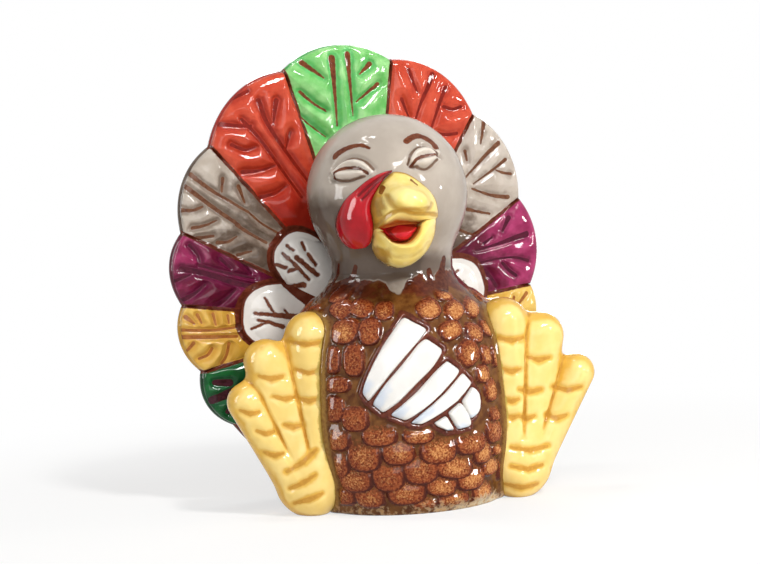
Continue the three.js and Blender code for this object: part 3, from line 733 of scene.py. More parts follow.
# Strokes and folds of the face as (degrees from its middle, degrees up)
face = dict(
    brows=[[(-46, 35.4), (-40.1, 38.8), (-32.2, 40.6), (-22.3, 40.9), (-14, 37.2)],
           [(19.1, 37.4), (25.1, 39.8), (34.3, 40.5), (41.9, 35.6), (44.5, 29.5)]],
    slits=[[(-46, 19.4), (-39, 23.6), (-30.4, 24.6), (-22.4, 22.4), (-16.8, 18.4)],
           [(16.4, 19.1), (20.9, 22.1), (26.7, 24), (34.7, 23.9), (44.1, 21.6)]],
    creases=[[(-45.4, 25.4), (-38.6, 29.9), (-28.4, 31.7), (-18.8, 28.1), (-12.3, 20.8)],
             [(-44.5, 18.3), (-37.5, 16.2), (-30.5, 15.7), (-19.5, 16.9)],
             [(14, 20.6), (17.9, 26.5), (28.4, 31.9), (37, 29.4), (44.5, 22.1)],
             [(16.4, 19.1), (22.1, 15.9), (29, 15.1), (39.7, 20)]],
    upperLids=[[(-43.1, 22.9), (-36, 26.4), (-29.3, 27.9), (-21.4, 25.2), (-16.1, 20.7)],
               [(17.8, 22.9), (23.3, 26.9), (28.4, 27.9), (35.8, 26.7), (41.7, 22.9)]],
    lowerLids=[[(-41.4, 20.2), (-35.2, 20), (-28.9, 19.7), (-21.7, 19.2)],
               [(20.4, 19.2), (25.5, 19.8), (31.4, 19.7), (37.4, 20.9)]])


def makeHead():
    # rows run from the crown down to the neck and back up inside
    angle = turnsRound(head["around"], -np.pi)[None, :]
    radius, z = headRows(0, head["rowsOut"])
    # one more row just above the joint keeps its edge sharp
    radius, z = (np.insert(rows, -1, rows[-1:] + step, 0) for rows, step in ((radius, 0), (z, 0.08)))
    skin = headPlace(radius, z, angle)
    outward = unit(skin - headCentre)
    front = outward @ faceTurn[:, 1] < -0.3  # only this side of the head carries strokes

    def strokes(kind, *widths):
        best = np.full(front.shape, far)
        lines = zip(face[kind], widths * len(face[kind]))
        best[front] = nearest(skin[front], [(onHead(*np.array(path).T), *width) for path, width in lines])
        return best

    slit, crease = strokes("slits", (1.3, 1.0)), strokes("creases", (0.5, 0.5))
    brow = strokes("brows", (3.6, 1.4), (2.6, 3.6))
    upper, lower = strokes("upperLids", (0, 0)), strokes("lowerLids", (0, 0))
    relief = head["upperLid"] * bell(upper, 2.4) + head["lowerLid"] * bell(lower, 2)
    relief += head["brow"] * groove(brow, 1.4)
    relief -= head["slit"] * groove(slit, 0.8) + head["crease"] * groove(crease, 1.1)
    inner = headPlace(*headRows(-head["wall"], head["rowsIn"]), angle)[::-1]
    grid = np.concatenate([skin + outward * relief[..., None], inner])
    hidden = np.zeros((len(inner), head["around"]))
    marks = dict(
        # the paler lids are a painted highlight on the raised lids
        lidHighlight=np.maximum(smooth(3.4, 1, upper), 0.62 * smooth(2.8, 0.8, lower)),
        fold=0.8 * smooth(1.2, -0.2, crease), line=smooth(0.4, -0.2, slit), brow=smooth(0.5, -0.5, brow),
        faintShade=greyFaintShade(skin), paintedShade=greyPaintedShade(skin),
        stroke=smooth(0.4, -0.4, neckField(angle, skin[..., 2])))
    marks = {mark: np.concatenate([values, hidden]) for mark, values in marks.items()}
    # warm grey in broad soft clouds, with painted shade under the chin and round the bird's right and a
    # fainter one on its left, lids painted paler as a painted highlight, and brown brush lines
    finish = glaze("brushed grey glazed earthenware", (*greyTones, 16), [
        *greyLayers, ("lidHighlight", "#d6ccc0", "#cac0b4", 4, 0.3), ("fold", "#5c4232", "#705646", 2.5, 0.12),
        ("line", "#582c1c", "#70422e", 2.5, 0.35), ("brow", "#562410", "#6e3a20", 1.6, 0.4), neckLayer])
    lids = [f"{side}_{level}_eyelid" for side in ("right", "left") for level in ("upper", "lower")]
    addPiece("painted_head", grid, finish, ["head_shell", *lids], marks)


makeHead()
print("head made")


# The tail: an oval plate with a scalloped edge, eleven painted feathers on its front and five white ones
# over their roots. Angles are degrees from the top feather's midrib, from the hub that the midribs run to;
# right and left give the notches between the feathers

tail = dict(thick=7, hub=76, tilt=2.5, width=176, top=200, sink=5, scallop=4.5,
            right=(13.2, 37.2, 59, 78.5, 99.2, 120), left=(11.8, 35.3, 60, 85.6, 107.5, 131.5))
tailOrder = ["green", "red", "grey", "purple", "yellow", "deep_green"]
tailSpans = {"green_top": (-tail["right"][0], tail["left"][0])}
for place, colour in enumerate(tailOrder[1:]):
    tailSpans[colour + "_right"] = (-tail["right"][place + 1], -tail["right"][place])
    tailSpans[colour + "_left"] = (tail["left"][place], tail["left"][place + 1])


def colourOf(name):
    return name.rsplit("_", 1)[0]


def ovalReach(angle):
    # from the hub along a ray to the oval that the feather tips touch: the far root of a quadratic
    middle, half = (tail["top"] - tail["sink"]) / 2, (tail["top"] + tail["sink"]) / 2
    side, up = np.sin(np.radians(angle)) / (tail["width"] / 2), np.cos(np.radians(angle)) / half
    start = (tail["hub"] - middle) / half
    square = side ** 2 + up ** 2
    return (-start * up + np.sqrt((start * up) ** 2 - square * (start ** 2 - 1))) / square


def tailEdge(angle):
    # the scalloped edge falls back from a feather's tip to its notches by the square of the way between them
    fall = np.full(np.shape(angle), tail["scallop"])
    for low, high in tailSpans.values():
        off = (2 * angle - low - high) / (high - low)
        fall = np.where(np.abs(off) <= 1, tail["scallop"] * off ** 2, fall)
    return ovalReach(angle) - fall


def onTail(radius, angle):
    turned = np.radians(np.asarray(angle) - tail["tilt"])
    return pointsOf(radius * np.sin(turned), radius * np.cos(turned))


def tailPlace(flat, lift):
    # a place on the plate's front, and how far it stands in front of it
    return pointsOf(flat[..., 0], plateFront - lift, flat[..., 1] + tail["hub"])


def keepBehind(grid, limit):
    grid[..., 1] = np.maximum(grid[..., 1], limit)


# Finish of each colour: record slot, ground tones and cloud size, and the tones at the root, of the painted
# shade along the veins and of the strokes
tailPaints = {
    "green": ("green_glaze", ("#62ae58", "#94cc84", 7), ("#3c9444", "#54a65a"), ("#46a04e", "#66b868"),
              ("#7a3c20", "#5e2c18")),
    "red": ("orange_red_glaze", ("#b63e28", "#c65038", 8), ("#8a1c10", "#a02a1c"), ("#982a1a", "#aa3624"),
            ("#6a160c", "#801e12")),
    "grey": ("grey_glaze", ("#ab9f92", "#bdb2a6", 9), ("#54453a", "#68584c"), ("#7a6b5e", "#8e7f72"),
             ("#5a3422", "#704a34")),
    "purple": ("purple_glaze", ("#86224c", "#a43a66", 7), ("#4c1026", "#621830"), ("#581432", "#6c1e3e"),
               ("#400c22", "#52142a")),
    "yellow": ("yellow_glaze", ("#d2a84a", "#dfbc66", 8), ("#b8882c", "#c6983c"), ("#bc8c36", "#cc9e46"),
               ("#8a5024", "#a46832")),
    "deep_green": ("deep_green_glaze", ("#124a26", "#1a6230", 6), ("#0e3a1c", "#164826"),
                   ("#123f22", "#1a5430"), ("#2e161a", "#42202a")),
}

# The plate: rows on its front, round its edge and on its back; steps along a feather's edge and the bare edge
plate = dict(rows=(15, 11, 39), featherSteps=44, bareSteps=150, valley=1.3, valleyWidth=2.6, backEdge=0.7,
             bodySeat=5)


def makePlate():
    # rings drawn in from the rim; the edge is half a circle, and grooves run in on the back from each notch
    spans = sorted(tailSpans.values())
    turns = [np.linspace(low, high, plate["featherSteps"], endpoint=False) for low, high in spans]
    below = np.linspace(spans[-1][1], spans[0][0] + 360, plate["bareSteps"], endpoint=False)
    turns = np.concatenate([*turns, below])
    wrapped = (turns + 180) % 360 - 180
    rim = onTail(tailEdge(wrapped), turns)
    notches = [*tail["left"], *(-side for side in tail["right"])]
    valley = np.max([bell(wrapped - notch, plate["valleyWidth"]) for notch in notches], 0)
    front, edge, back = plate["rows"]
    bend = np.linspace(0, np.pi, edge + 2)[1:-1]
    half = tail["thick"] / 2
    share = np.concatenate([np.linspace(0, 1, front + 1)[:-1] ** 0.7, np.ones(edge),
                            np.linspace(1, 0, back + 1)[1:] ** 0.7])[:, None]
    pull = np.concatenate([np.full(front, half), half * (1 - np.sin(bend)), np.full(back, half)])[:, None]
    depth = np.concatenate([np.zeros(front), half * (1 - np.cos(bend)), np.full(back, 2 * half)])[:, None]
    reach = np.linalg.norm(rim, axis=-1)
    flat = rim * (share * (reach - pull) / reach)[..., None]
    flat[..., 1] = np.maximum(flat[..., 1], -tail["hub"])
    pressed = (depth > half) * smooth(0.25, 0.95, share)
    deep = depth - plate["valley"] * valley * pressed - plate["backEdge"] * pressed * smooth(0.6, 1, share)
    grid = tailPlace(flat, -deep)
    clear = bodyBack(grid[..., 0], grid[..., 2], tailGap)
    keepBehind(grid, np.minimum(clear, plateFront + plate["bodySeat"]))
    behind = np.broadcast_to(depth > half, grid.shape[:2])
    # rib darkens the grooves on the back: painted shade
    marks = dict(back=behind * 1.0, rib=behind * valley * smooth(0.2, 0.5, share))
    for name, (low, high) in tailSpans.items():
        within = smooth(0.2, 1.2, np.minimum(wrapped - low, high - wrapped)) * smooth(0.8, 0.94, share)
        marks[colourOf(name)] = np.maximum(marks.get(colourOf(name), 0), within)
    # brown in the grooves in front; behind, a thin brown wash with painted shade in its grooves, and each
    # feather's colour round the edge
    finish = glaze("dark brown glazed earthenware", ("#7c3a28", "#642c1c", 6), [
        ("back", "#94704e", "#7c5a3c", 18, 0.4), ("rib", "#5c3826", "#704a32", 4, 0.4),
        *((colour, *paint[2], 6, 0.2) for colour, paint in tailPaints.items())])
    addPiece("painted_tail_plate", grid, finish, ["tail_plate"], marks)


# The white inner feathers: each one's angle, reach from the hub and width, with its strokes as (distance from
# the hub, angle) and the width in mm at each end. leaf holds what they share: they stand on the plate near
# the hub and on the tail feathers further out
leaf = dict(root=12.0, square=0.75, rise=7.2, groove=0.5, around=280, rings=44, seat=(0.3, 4.75),
            seatFrom=(39, 45), skin=0.35, gap=0.4)
innerFeathers = {
    "top": dict(angle=0, reach=56, width=25, strokes=[]),
    "right_upper": dict(angle=-43.5, reach=56, width=26, strokes=[
        ([(51.2, -47.4), (43.3, -48.7), (35.2, -51.2)], 1.2, 1.2),
        ([(45.6, -44.7), (39.5, -44.8), (33.3, -44.9)], 1.6, 2),
        ([(51.1, -53.7), (46.6, -52.6)], 1, 1.4), ([(44.7, -53.3), (42.3, -49.9)], 1.4, 0.8),
        ([(46.8, -60.4), (41.3, -61.4), (36, -56.6)], 0.8, 2.4), ([(51.6, -43.1), (48.3, -42.8)], 1.2, 0.8),
        ([(47.6, -36.7), (44.7, -38.2)], 1.2, 0.8), ([(42.4, -38.8), (36.8, -40)], 1, 1.4)]),
    "left_upper": dict(angle=43, reach=54, width=26, strokes=[([(50, 43), (42, 43), (34, 43)], 1.2, 1.6)]),
    "right_lower": dict(angle=-80, reach=60.5, width=30, strokes=[
        ([(54.6, -79.3), (44.4, -79.4), (35.6, -80.1)], 1, 2.4),
        ([(53.1, -82.3), (47.7, -83.5), (41.7, -86.3)], 0.9, 1.6),
        ([(50.9, -71.4), (46.6, -77.5)], 0.8, 0.9), ([(55.8, -86.4), (49.7, -83.8)], 0.8, 0.7),
        ([(41.3, -76), (39.7, -78.5)], 1, 0.8)]),
    "left_lower": dict(angle=78, reach=58.5, width=30, strokes=[
        ([(45.5, 69.2), (47.4, 68.8)], 0.9, 0.7), ([(45.8, 75.4), (47.6, 75.7)], 0.9, 0.7)]),
}


def innerAxis(name):
    # the middle of an inner feather, and half of its length and of its width as two arrows
    feather = innerFeathers[name]
    root, tip = onTail(leaf["root"], feather["angle"]), onTail(feather["reach"], feather["angle"])
    along = (tip - root) / 2
    return (root + tip) / 2, along, unit(np.array([-along[1], along[0]])) * feather["width"] / 2


def innerDistance(flat, name):
    # distance outside an inner feather, by how much larger the leaf through that place is
    middle, along, across = innerAxis(name)
    off = flat - middle
    size = ovalSize(off @ along / (along @ along), off @ across / (across @ across), 2 / leaf["square"])
    return (1 - 1 / np.maximum(size, 1e-6)) * np.linalg.norm(off, axis=-1)


def strokeFields(flat, strokes):
    # how far each place lies outside the nearest stroke, in mm
    if not strokes:
        return np.full(flat.shape[:-1], far)
    return nearest(flat, [(onTail(*np.array(path, float).T), start, end) for path, start, end in strokes])


# Brush strokes on each feather: the line as (distance from the hub, angle), and its width at each end in mm.
# A low ridge follows the first two of each feather
tailStrokes = {
    "green_top": [
        ([(118, -2.1), (107.1, -2.5), (88.1, -3.5)], 3.2, 0.7),
        ([(119.1, 1.6), (108.5, 1.5), (91.5, 1.6)], 2.8, 0.6),
        ([(118.7, -8.9), (109.9, -4.7)], 2.6, 0.7), ([(106.6, -11.3), (100.3, -8.9), (95.6, -6)], 1.4, 0.9),
        ([(97.7, -13.6), (90.7, -11), (84.3, -7.6)], 0.9, 0.5), ([(114.7, 6.7), (110.1, 4.2)], 2.4, 0.8),
        ([(106, 8.8), (97.7, 2.8)], 1.8, 0.6)],
    "red_right": [
        ([(106.7, -27.3), (94.7, -26), (76.5, -24.9), (63.4, -23.5)], 1.6, 1.2),
        ([(110.1, -21.5), (99.1, -22.2), (82.2, -20.8), (68.3, -18.4)], 2.2, 1.2),
        ([(110.7, -32.1), (105.4, -28.9), (102.3, -26.2)], 2.2, 1),
        ([(100.6, -33), (95.4, -31.1), (93.3, -28.2)], 1.6, 0.8),
        ([(88.3, -35.3), (83.8, -30.9), (81.8, -26.3)], 1.8, 0.8),
        ([(74.7, -36.4), (71.6, -30.9), (71.4, -26.7)], 1.8, 0.8),
        ([(106.7, -17.6), (97.9, -20.9)], 2.4, 0.8), ([(91.4, -17.4), (86, -20.6)], 1.6, 0.8),
        ([(116.4, -26.4), (115.8, -22.5)], 1.4, 1.4)],
    "grey_right": [
        ([(104.6, -45.4), (92.6, -45.2), (74.6, -43)], 2, 1),
        ([(74.6, -42.9), (66.3, -42.7), (58, -41)], 1, 1),
        ([(104, -48.4), (88.4, -48.7), (74.6, -48.4)], 2, 1.6),
        ([(75.3, -48.8), (68.5, -48.6), (59.5, -47.5)], 1.6, 1.2),
        ([(92.6, -40.7), (89.5, -43.6)], 1.6, 1), ([(85, -39), (78.4, -41.3)], 2, 1),
        ([(99.3, -53.9), (95.1, -52.5), (92.3, -50.2)], 1.8, 1),
        ([(91.4, -56.6), (87.2, -54.4), (83.8, -51.3)], 1.6, 0.8),
        ([(87.6, -58.6), (81.6, -55.8)], 1.8, 1.2), ([(78.5, -57), (74.5, -55.2), (72.2, -52.1)], 1.6, 0.8),
        ([(67.7, -57.6), (63.1, -53.9)], 1.6, 0.8)],
    "purple_right": [
        ([(89.6, -68.2), (77.9, -67.6), (66.6, -68), (57.1, -67.5)], 2.4, 2.2),
        ([(82.8, -65.8), (71.8, -65.4), (56.9, -63.7)], 1.2, 1),
        ([(89.4, -61.3), (85, -62.8), (82.9, -64.7)], 1.4, 0.8), ([(74.4, -61.4), (68.4, -63.4)], 1.8, 1),
        ([(91.2, -71.9), (85.4, -69.2)], 1.6, 0.8), ([(86, -76.6), (81.8, -74.5), (78, -71.2)], 2, 1),
        ([(71.9, -77.7), (67.6, -74.9), (63.9, -70.4)], 2, 1), ([(64.7, -59.1), (58.9, -62.1)], 1.6, 1)],
    "yellow_right": [
        ([(85.8, -85.5), (73.6, -86), (61.6, -85.4)], 1.4, 1),
        ([(86.9, -87.5), (71.8, -88.4), (61.8, -89.1)], 2, 1.2),
        ([(84.4, -81.7), (80.8, -83.7)], 2, 1), ([(79.5, -80.9), (77.5, -83.5)], 1.4, 0.8),
        ([(72.3, -80.5), (71.2, -84.1)], 1.4, 0.8),
        ([(65.6, -80.8), (65.2, -83.6)], 1.2, 0.8), ([(81.6, -89.7), (84.9, -92)], 1.8, 1),
        ([(73.7, -92.3), (76.1, -94.1), (80, -94.7)], 1.4, 1.2),
        ([(65.8, -91.5), (67.7, -95.7), (70.4, -98.1)], 1.4, 1.2)],
    "red_left": [
        ([(115, 22), (108.5, 21.6), (100.9, 20.7), (93.6, 20.3)], 2.6, 0.9),
        ([(111.4, 26), (105.6, 25.7), (97, 25.6), (90.8, 25.5)], 2.2, 0.8),
        ([(114.2, 16.2), (109.5, 17.6), (105, 19.3)], 2, 0.8), ([(100.5, 15.4), (93.3, 18.2)], 1.6, 0.8),
        ([(102.8, 27), (103.5, 29.5), (106.4, 31.4)], 1.8, 1.6),
        ([(90.3, 26.7), (91.4, 30.2), (94.7, 33.5)], 1.6, 1.4)],
    "grey_left": [
        ([(102.5, 44.9), (94.8, 43.9), (86.1, 43.1), (78.9, 42.4)], 2.2, 0.9),
        ([(99.1, 49.2), (91.5, 48.2), (79.8, 46)], 1.8, 0.7),
        ([(105.9, 38.8), (96.7, 40.8)], 2.2, 0.8), ([(89.5, 38), (86.5, 39.9)], 1.6, 0.9),
        ([(92, 49), (93.8, 51.2), (96.3, 53)], 1, 1.4),
        ([(77.6, 46.7), (82.1, 53.1), (88.1, 57.4)], 0.9, 2),
        ([(69, 50.1), (72.3, 54), (76.3, 57.6)], 1.6, 1),
        ([(59.9, 54), (62, 57.4), (64.8, 60.2)], 1.4, 0.9)],
    "purple_left": [
        ([(86.9, 70.1), (78.5, 69), (72.1, 68.2), (60.9, 65.7)], 2.8, 0.8),
        ([(83, 78), (77.4, 75.4), (69.7, 73.3), (60.1, 71.3)], 1.4, 0.8),
        ([(82.8, 62.7), (76.8, 65.1)], 2.2, 1), ([(70.3, 75.4), (72.2, 78.6), (75.2, 81.4)], 1.6, 1.6),
        ([(61, 75.5), (62.5, 78.8), (64.6, 83.3)], 1.8, 1.4), ([(66, 65.1), (70.9, 64.9)], 1.4, 0.8)],
    "yellow_left": [
        ([(78.9, 88.2), (74.3, 91.4)], 1.8, 1.2), ([(72.3, 88.9), (70.7, 91.2)], 1.4, 0.8),
        ([(84, 95.5), (72, 96.5), (60, 97)], 1.8, 1), ([(82, 99), (71, 99.5), (60, 99.5)], 1.4, 1)],
    "deep_green_right": [([(80, -108.5), (72, -109), (60, -109)], 3.4, 4.4),
                         ([(76, -103.6), (70, -105.6)], 2.4, 3.4), ([(76, -114.4), (69, -112)], 2.4, 3)],
    "deep_green_left": [([(80, 119), (70, 119), (58, 119)], 2.2, 1), ([(74, 113), (69, 116.5)], 1.6, 1),
                        ([(74, 125), (68, 122)], 1.6, 1)],
}
# Distances from the hub at which the dark colour of a feather's root begins and is full, where it is drawn
# out further than on the others: on these feathers of the bird's right, the further part is painted shade
rootReach = {"purple_right": (108, 62), "grey_right": (104, 60), "red_right": (92, 54),
             "yellow_right": (92, 54)}
# What the feathers share: where they begin, how far they stay inside the edge and each other, and how high
# their crown, lobes and midrib rise and their lines sink in
vane = dict(root=42.0, rim=0.6, inset=0.05, rise=3.6, puff=1.9, midrib=0.4, groove=1.1, leftDepth=0.55,
            sideRise=0.52, sideRamp=26, seat=0.05, skin=0.06, count=110, rings=60, rootReach=(80, 54))


def featherOutline(low, high, count):
    # two straight sides along the notch lines, a scalloped tip and a short root
    def inset(radius):
        return np.degrees(vane["inset"] / radius)

    root = vane["root"]
    ends = [tailEdge(np.array(angle)) - vane["rim"] for angle in (low + 1e-6, high - 1e-6)]
    up, down = np.linspace(root, ends[0], count), np.linspace(ends[1], root, count)
    tips = np.linspace(low + inset(ends[0]), high - inset(ends[1]), count)[1:-1]
    base = np.linspace(high - inset(root), low + inset(root), count // 3)[1:-1]
    return np.concatenate([onTail(up, low + inset(up)), onTail(tailEdge(tips) - vane["rim"], tips),
                           onTail(down, high - inset(down)), onTail(root, base)])


def makeTailFeather(name, finishes):
    # rings drawn in from the outline; lobes swell between the brush lines and sink in along them
    low, high = tailSpans[name]
    count = vane["count"]
    outline = featherOutline(low, high, count)
    middle = outline.mean(0)
    share = easedShares(vane["rings"])[:, None]
    flat = mix(middle, outline, share[..., None])
    edge = strokeFields(flat, tailStrokes[name])
    rib = strokeFields(flat, tailStrokes[name][:2])
    halo = np.min([innerDistance(flat, feather) for feather in innerFeathers], 0)
    # the sides are held up, so that neighbours meet in a shallow valley
    ramp = smooth(0, vane["sideRamp"], np.arange(count)[::-1])
    hold = np.concatenate([ramp, np.zeros(count - 2), ramp[::-1], np.ones(len(outline) - 3 * count + 2)])
    crown = np.maximum((1 - share ** 2.6) ** 0.42, vane["sideRise"] * hold)
    flank = mix(np.clip((edge - 0.3) / 4, 0, 1), smooth(0.1, 4.6, edge), 0.4)
    depth = vane["leftDepth"] if name.endswith("_left") else 1.0  # they are flatter on the bird's left
    swell = vane["puff"] * flank * smooth(0, 7, halo) + vane["midrib"] * bell(rib, 2.2)
    lift = crown * (vane["rise"] + depth * (swell - vane["groove"] * groove(edge, 1.0))) + vane["skin"]
    foot = tailPlace(flat[-1:], vane["seat"])
    bottom = np.broadcast_to(tailPlace(middle, vane["seat"]), foot.shape)
    grid = np.concatenate([tailPlace(flat, lift), foot, bottom])
    keepBehind(grid, bodyBack(grid[..., 0], grid[..., 2], tailGap))
    radius = np.linalg.norm(flat, axis=-1)
    bearing = np.degrees(np.arctan2(flat[..., 0], flat[..., 1])) + tail["tilt"]
    bearing += 360 * np.round(((low + high) / 2 - bearing) / 360)
    border = radius * np.sin(np.radians(np.minimum(bearing - low, high - bearing)))
    # vein is painted shade along the incised lines, weaker where the relief is flatter
    marks = dict(root=smooth(*rootReach.get(name, vane["rootReach"]), radius),
                 vein=0.8 * depth * groove(edge, 2.2), stroke=smooth(0.4, -0.35, edge),
                 side=np.maximum(smooth(1.2, 0.45, border), smooth(2.6, 1.8, halo)))
    marks = {mark: np.concatenate([values, values[-1:], values[-1:]]) for mark, values in marks.items()}
    node, colour = "tail_feather_" + name, colourOf(name)
    addPiece("painted_" + node, grid, finishes[colour], [node], marks)


def makeInnerFeather(name, finish):
    # a leaf from root to tip, its half length and half width carried by cosine and sine drawn out square
    middle, along, across = innerAxis(name)
    angle = turnsRound(leaf["around"])[:, None]
    lengthwise, crosswise = (power(wave(angle), leaf["square"]) for wave in (np.cos, np.sin))
    outline = middle + along * lengthwise + across * crosswise
    share = easedShares(leaf["rings"], 1)[:, None]
    flat = mix(middle, outline, share[..., None])
    edge = strokeFields(flat, innerFeathers[name]["strokes"])
    seat = mix(*leaf["seat"], smooth(*leaf["seatFrom"], np.linalg.norm(flat, axis=-1)))
    crown = (1 - share ** 2.4) ** 0.4
    lift = np.maximum(seat, crown * (leaf["rise"] - leaf["groove"] * groove(edge, 0.9))) + leaf["skin"]
    grid = np.concatenate([tailPlace(flat, lift), tailPlace(flat, seat)[::-1]])
    gap = grid - headCentre
    ball = (head["radius"] + leaf["gap"]) ** 2 - gap[..., 0] ** 2 - gap[..., 2] ** 2
    clear = np.where(ball > 0, headCentre[1] + rootOf(ball), -far)
    clear = np.maximum(clear, bodyBack(grid[..., 0], grid[..., 2], tailGap))
    keepBehind(grid, np.minimum(clear, plateFront - tailGap))
    side = smooth(0.93, 0.98, share) + 0 * edge
    if name.endswith("lower"):  # the upper feather's outline is painted on to the lower one beside it
        side = np.maximum(side, smooth(2.2, 1.4, innerDistance(flat, name.replace("lower", "upper"))))
    marks = dict(stroke=smooth(0.95, -0.4, edge), side=side)
    marks = {mark: np.concatenate([values, values[::-1]]) for mark, values in marks.items()}
    addPiece("painted_inner_feather_" + name, grid, finish, ["inner_feather_" + name], marks)


def makeTail():
    makePlate()
    finishes = {}
    for colour, (_, ground, root, vein, stroke) in tailPaints.items():
        # brushed colour, deeper at the root, with painted shade along the veins, dark strokes and brown sides
        finishes[colour] = glaze(f"brushed {colour.replace('_', ' ')} glazed earthenware", ground, [
            ("root", *root, 8, 0.6), ("vein", *vein, 5, 0.5), ("stroke", *stroke, 2, 0.35),
            ("side", "#6a3020", "#542416", 2, 0.3)])
    for name in tailSpans:
        makeTailFeather(name, finishes)
    # the clay's own white, with brown strokes and a broad brown outline
    white = glaze("white glazed earthenware", ("#e8e5e0", "#dad6d0", 10), [
        ("stroke", "#5e2e1e", "#7a4834", 2, 0.4), ("side", "#5c2618", "#6c3626", 4, 0.3)])
    for name in innerFeathers:
        makeInnerFeather(name, white)


makeTail()
print("tail made")


def makeWing():
    # each feather is a patch between its two long sides, drawn in to a crown and laid on the belly
    angle = turnsRound(wing["around"])
    share = easedShares(wing["rings"])[:, None]
    span = share * power(np.sin(angle), wing["square"])
    along = (1 - share * power(np.cos(angle), wing["square"])) / 2
    # white with bluish painted shade towards the tips, and brown where it meets the belly
    finish = glaze("white wing glazed earthenware", ("#e4e2de", "#dad7d2", 14), [
        ("tipShade", "#bcc6d2", "#ccd2da", 9, 0.6), ("side", *wingLineTones, 2, 0.3)])
    for spread, (name, sides) in zip(wing["spread"], wing["feathers"].items()):
        across = (1 + spread * span) / 2
        flat = mix(*(alongCurve(side, 8, along) for side in sides), across[..., None])
        lift = wing["rise"] * (1 - share ** 8) ** 0.45 + wing["seat"]
        angles, heights = np.radians(flat[..., 0]), flat[..., 1]
        front, under = (bodyPoint(angles, heights, out) for out in (lift, wing["seat"]))
        grid = np.concatenate([front, under[::-1][1:]])
        # the bluish tint towards the tips is painted shade
        tipShade = smooth(0.5, 1, along) * smooth(1, 0.2, across)
        marks = dict(side=smooth(0.985, 1, share) + 0 * across, tipShade=tipShade)
        marks = {mark: np.concatenate([values, values[::-1][1:]]) for mark, values in marks.items()}
        addPiece("painted_" + name, grid, finish, [name], marks)


makeWing()
print("wing made")


# Creases pressed across the toes and heel: one end, the middle and the other end, as (outwards from the heel,
# height)
footCreases = {
    "right": [[(5.5, 74.2), (-1.5, 72.6), (-8.6, 73.1)], [(3.4, 62.2), (-1.8, 60.7), (-7, 61.2)],
              [(2.6, 50.2), (-1, 48.9), (-4.6, 49.4)], [(18.6, 60.7), (13.8, 59.2), (8.8, 59.7)],
              [(13.2, 51.8), (8.4, 50.2), (3.6, 50.8)], [(9.4, 39.6), (5.7, 38.2), (1.8, 38.9)],
              [(27.2, 46.9), (23.4, 45.2), (19.6, 45.8)], [(21, 37.8), (17.4, 36.3), (13.8, 36.9)],
              [(18.3, 28.3), (14.5, 26.9), (10.6, 27.6)], [(9.7, 19.8), (3.1, 23.4), (-2.9, 28.5)],
              [(8.7, 12.6), (3.6, 15), (-1.5, 18.1)], [(7, 6.1), (1.6, 7.8), (-3.8, 10.1)]],
    "left": [[(-9.5, 69.3), (-3.5, 67.7), (2.4, 68.3)], [(-9, 56.1), (-4.6, 54.5), (-0.2, 55.2)],
             [(-9, 43.2), (-5.4, 41.7), (-1.8, 42.5)], [(-7.6, 36), (-5.1, 34.9), (-2.5, 35.5)],
             [(3.8, 59.8), (8.4, 58.2), (13.1, 58.8)], [(-1.4, 46.6), (3.6, 44.9), (8.7, 45.6)],
             [(-2, 35.2), (1.5, 33.7), (5, 34.5)], [(14.3, 46.2), (20.5, 44.2), (26.8, 45.2)],
             [(10.7, 34.5), (15, 32.6), (19.5, 33.6)], [(-6.9, 22.5), (1.4, 20.4), (9.9, 21)],
             [(-7.4, 14.6), (-0.1, 12.6), (7.2, 13.4)], [(-9.8, 6.7), (-3.2, 4.9), (4.6, 5.3)]],
}


def limbDistance(flat, side):
    # distances outside the two nearest limbs of the foot, nearest first
    spread = [nearPath(flat, ends[:2], 2 * ends[2], 2 * ends[3]) for ends in feet["limbs"][side]]
    return np.sort(spread, 0)[:2]


def footEdge(flat, side):
    # the limbs run together by a soft minimum
    near, second = limbDistance(flat, side)
    meet = np.maximum(feet["blend"] - (second - near), 0)
    return near - meet ** 2 / (4 * feet["blend"])


def footReach(middle, ray, side):
    # the last trial step along each ray that is still inside, and then halving between it and the next
    trial = np.linspace(*feet["reach"], feet["steps"])
    inside = footEdge(middle + trial[:, None, None] * ray, side) < 0
    last = len(trial) - 1 - np.argmax(inside[::-1], 0)
    low, high = trial[last], trial[np.minimum(last + 1, len(trial) - 1)]
    for _ in range(feet["halvings"]):
        half = (low + high) / 2
        within = footEdge(middle + half[:, None] * ray, side) < 0
        low, high = np.where(within, half, low), np.where(within, high, half)
    return low


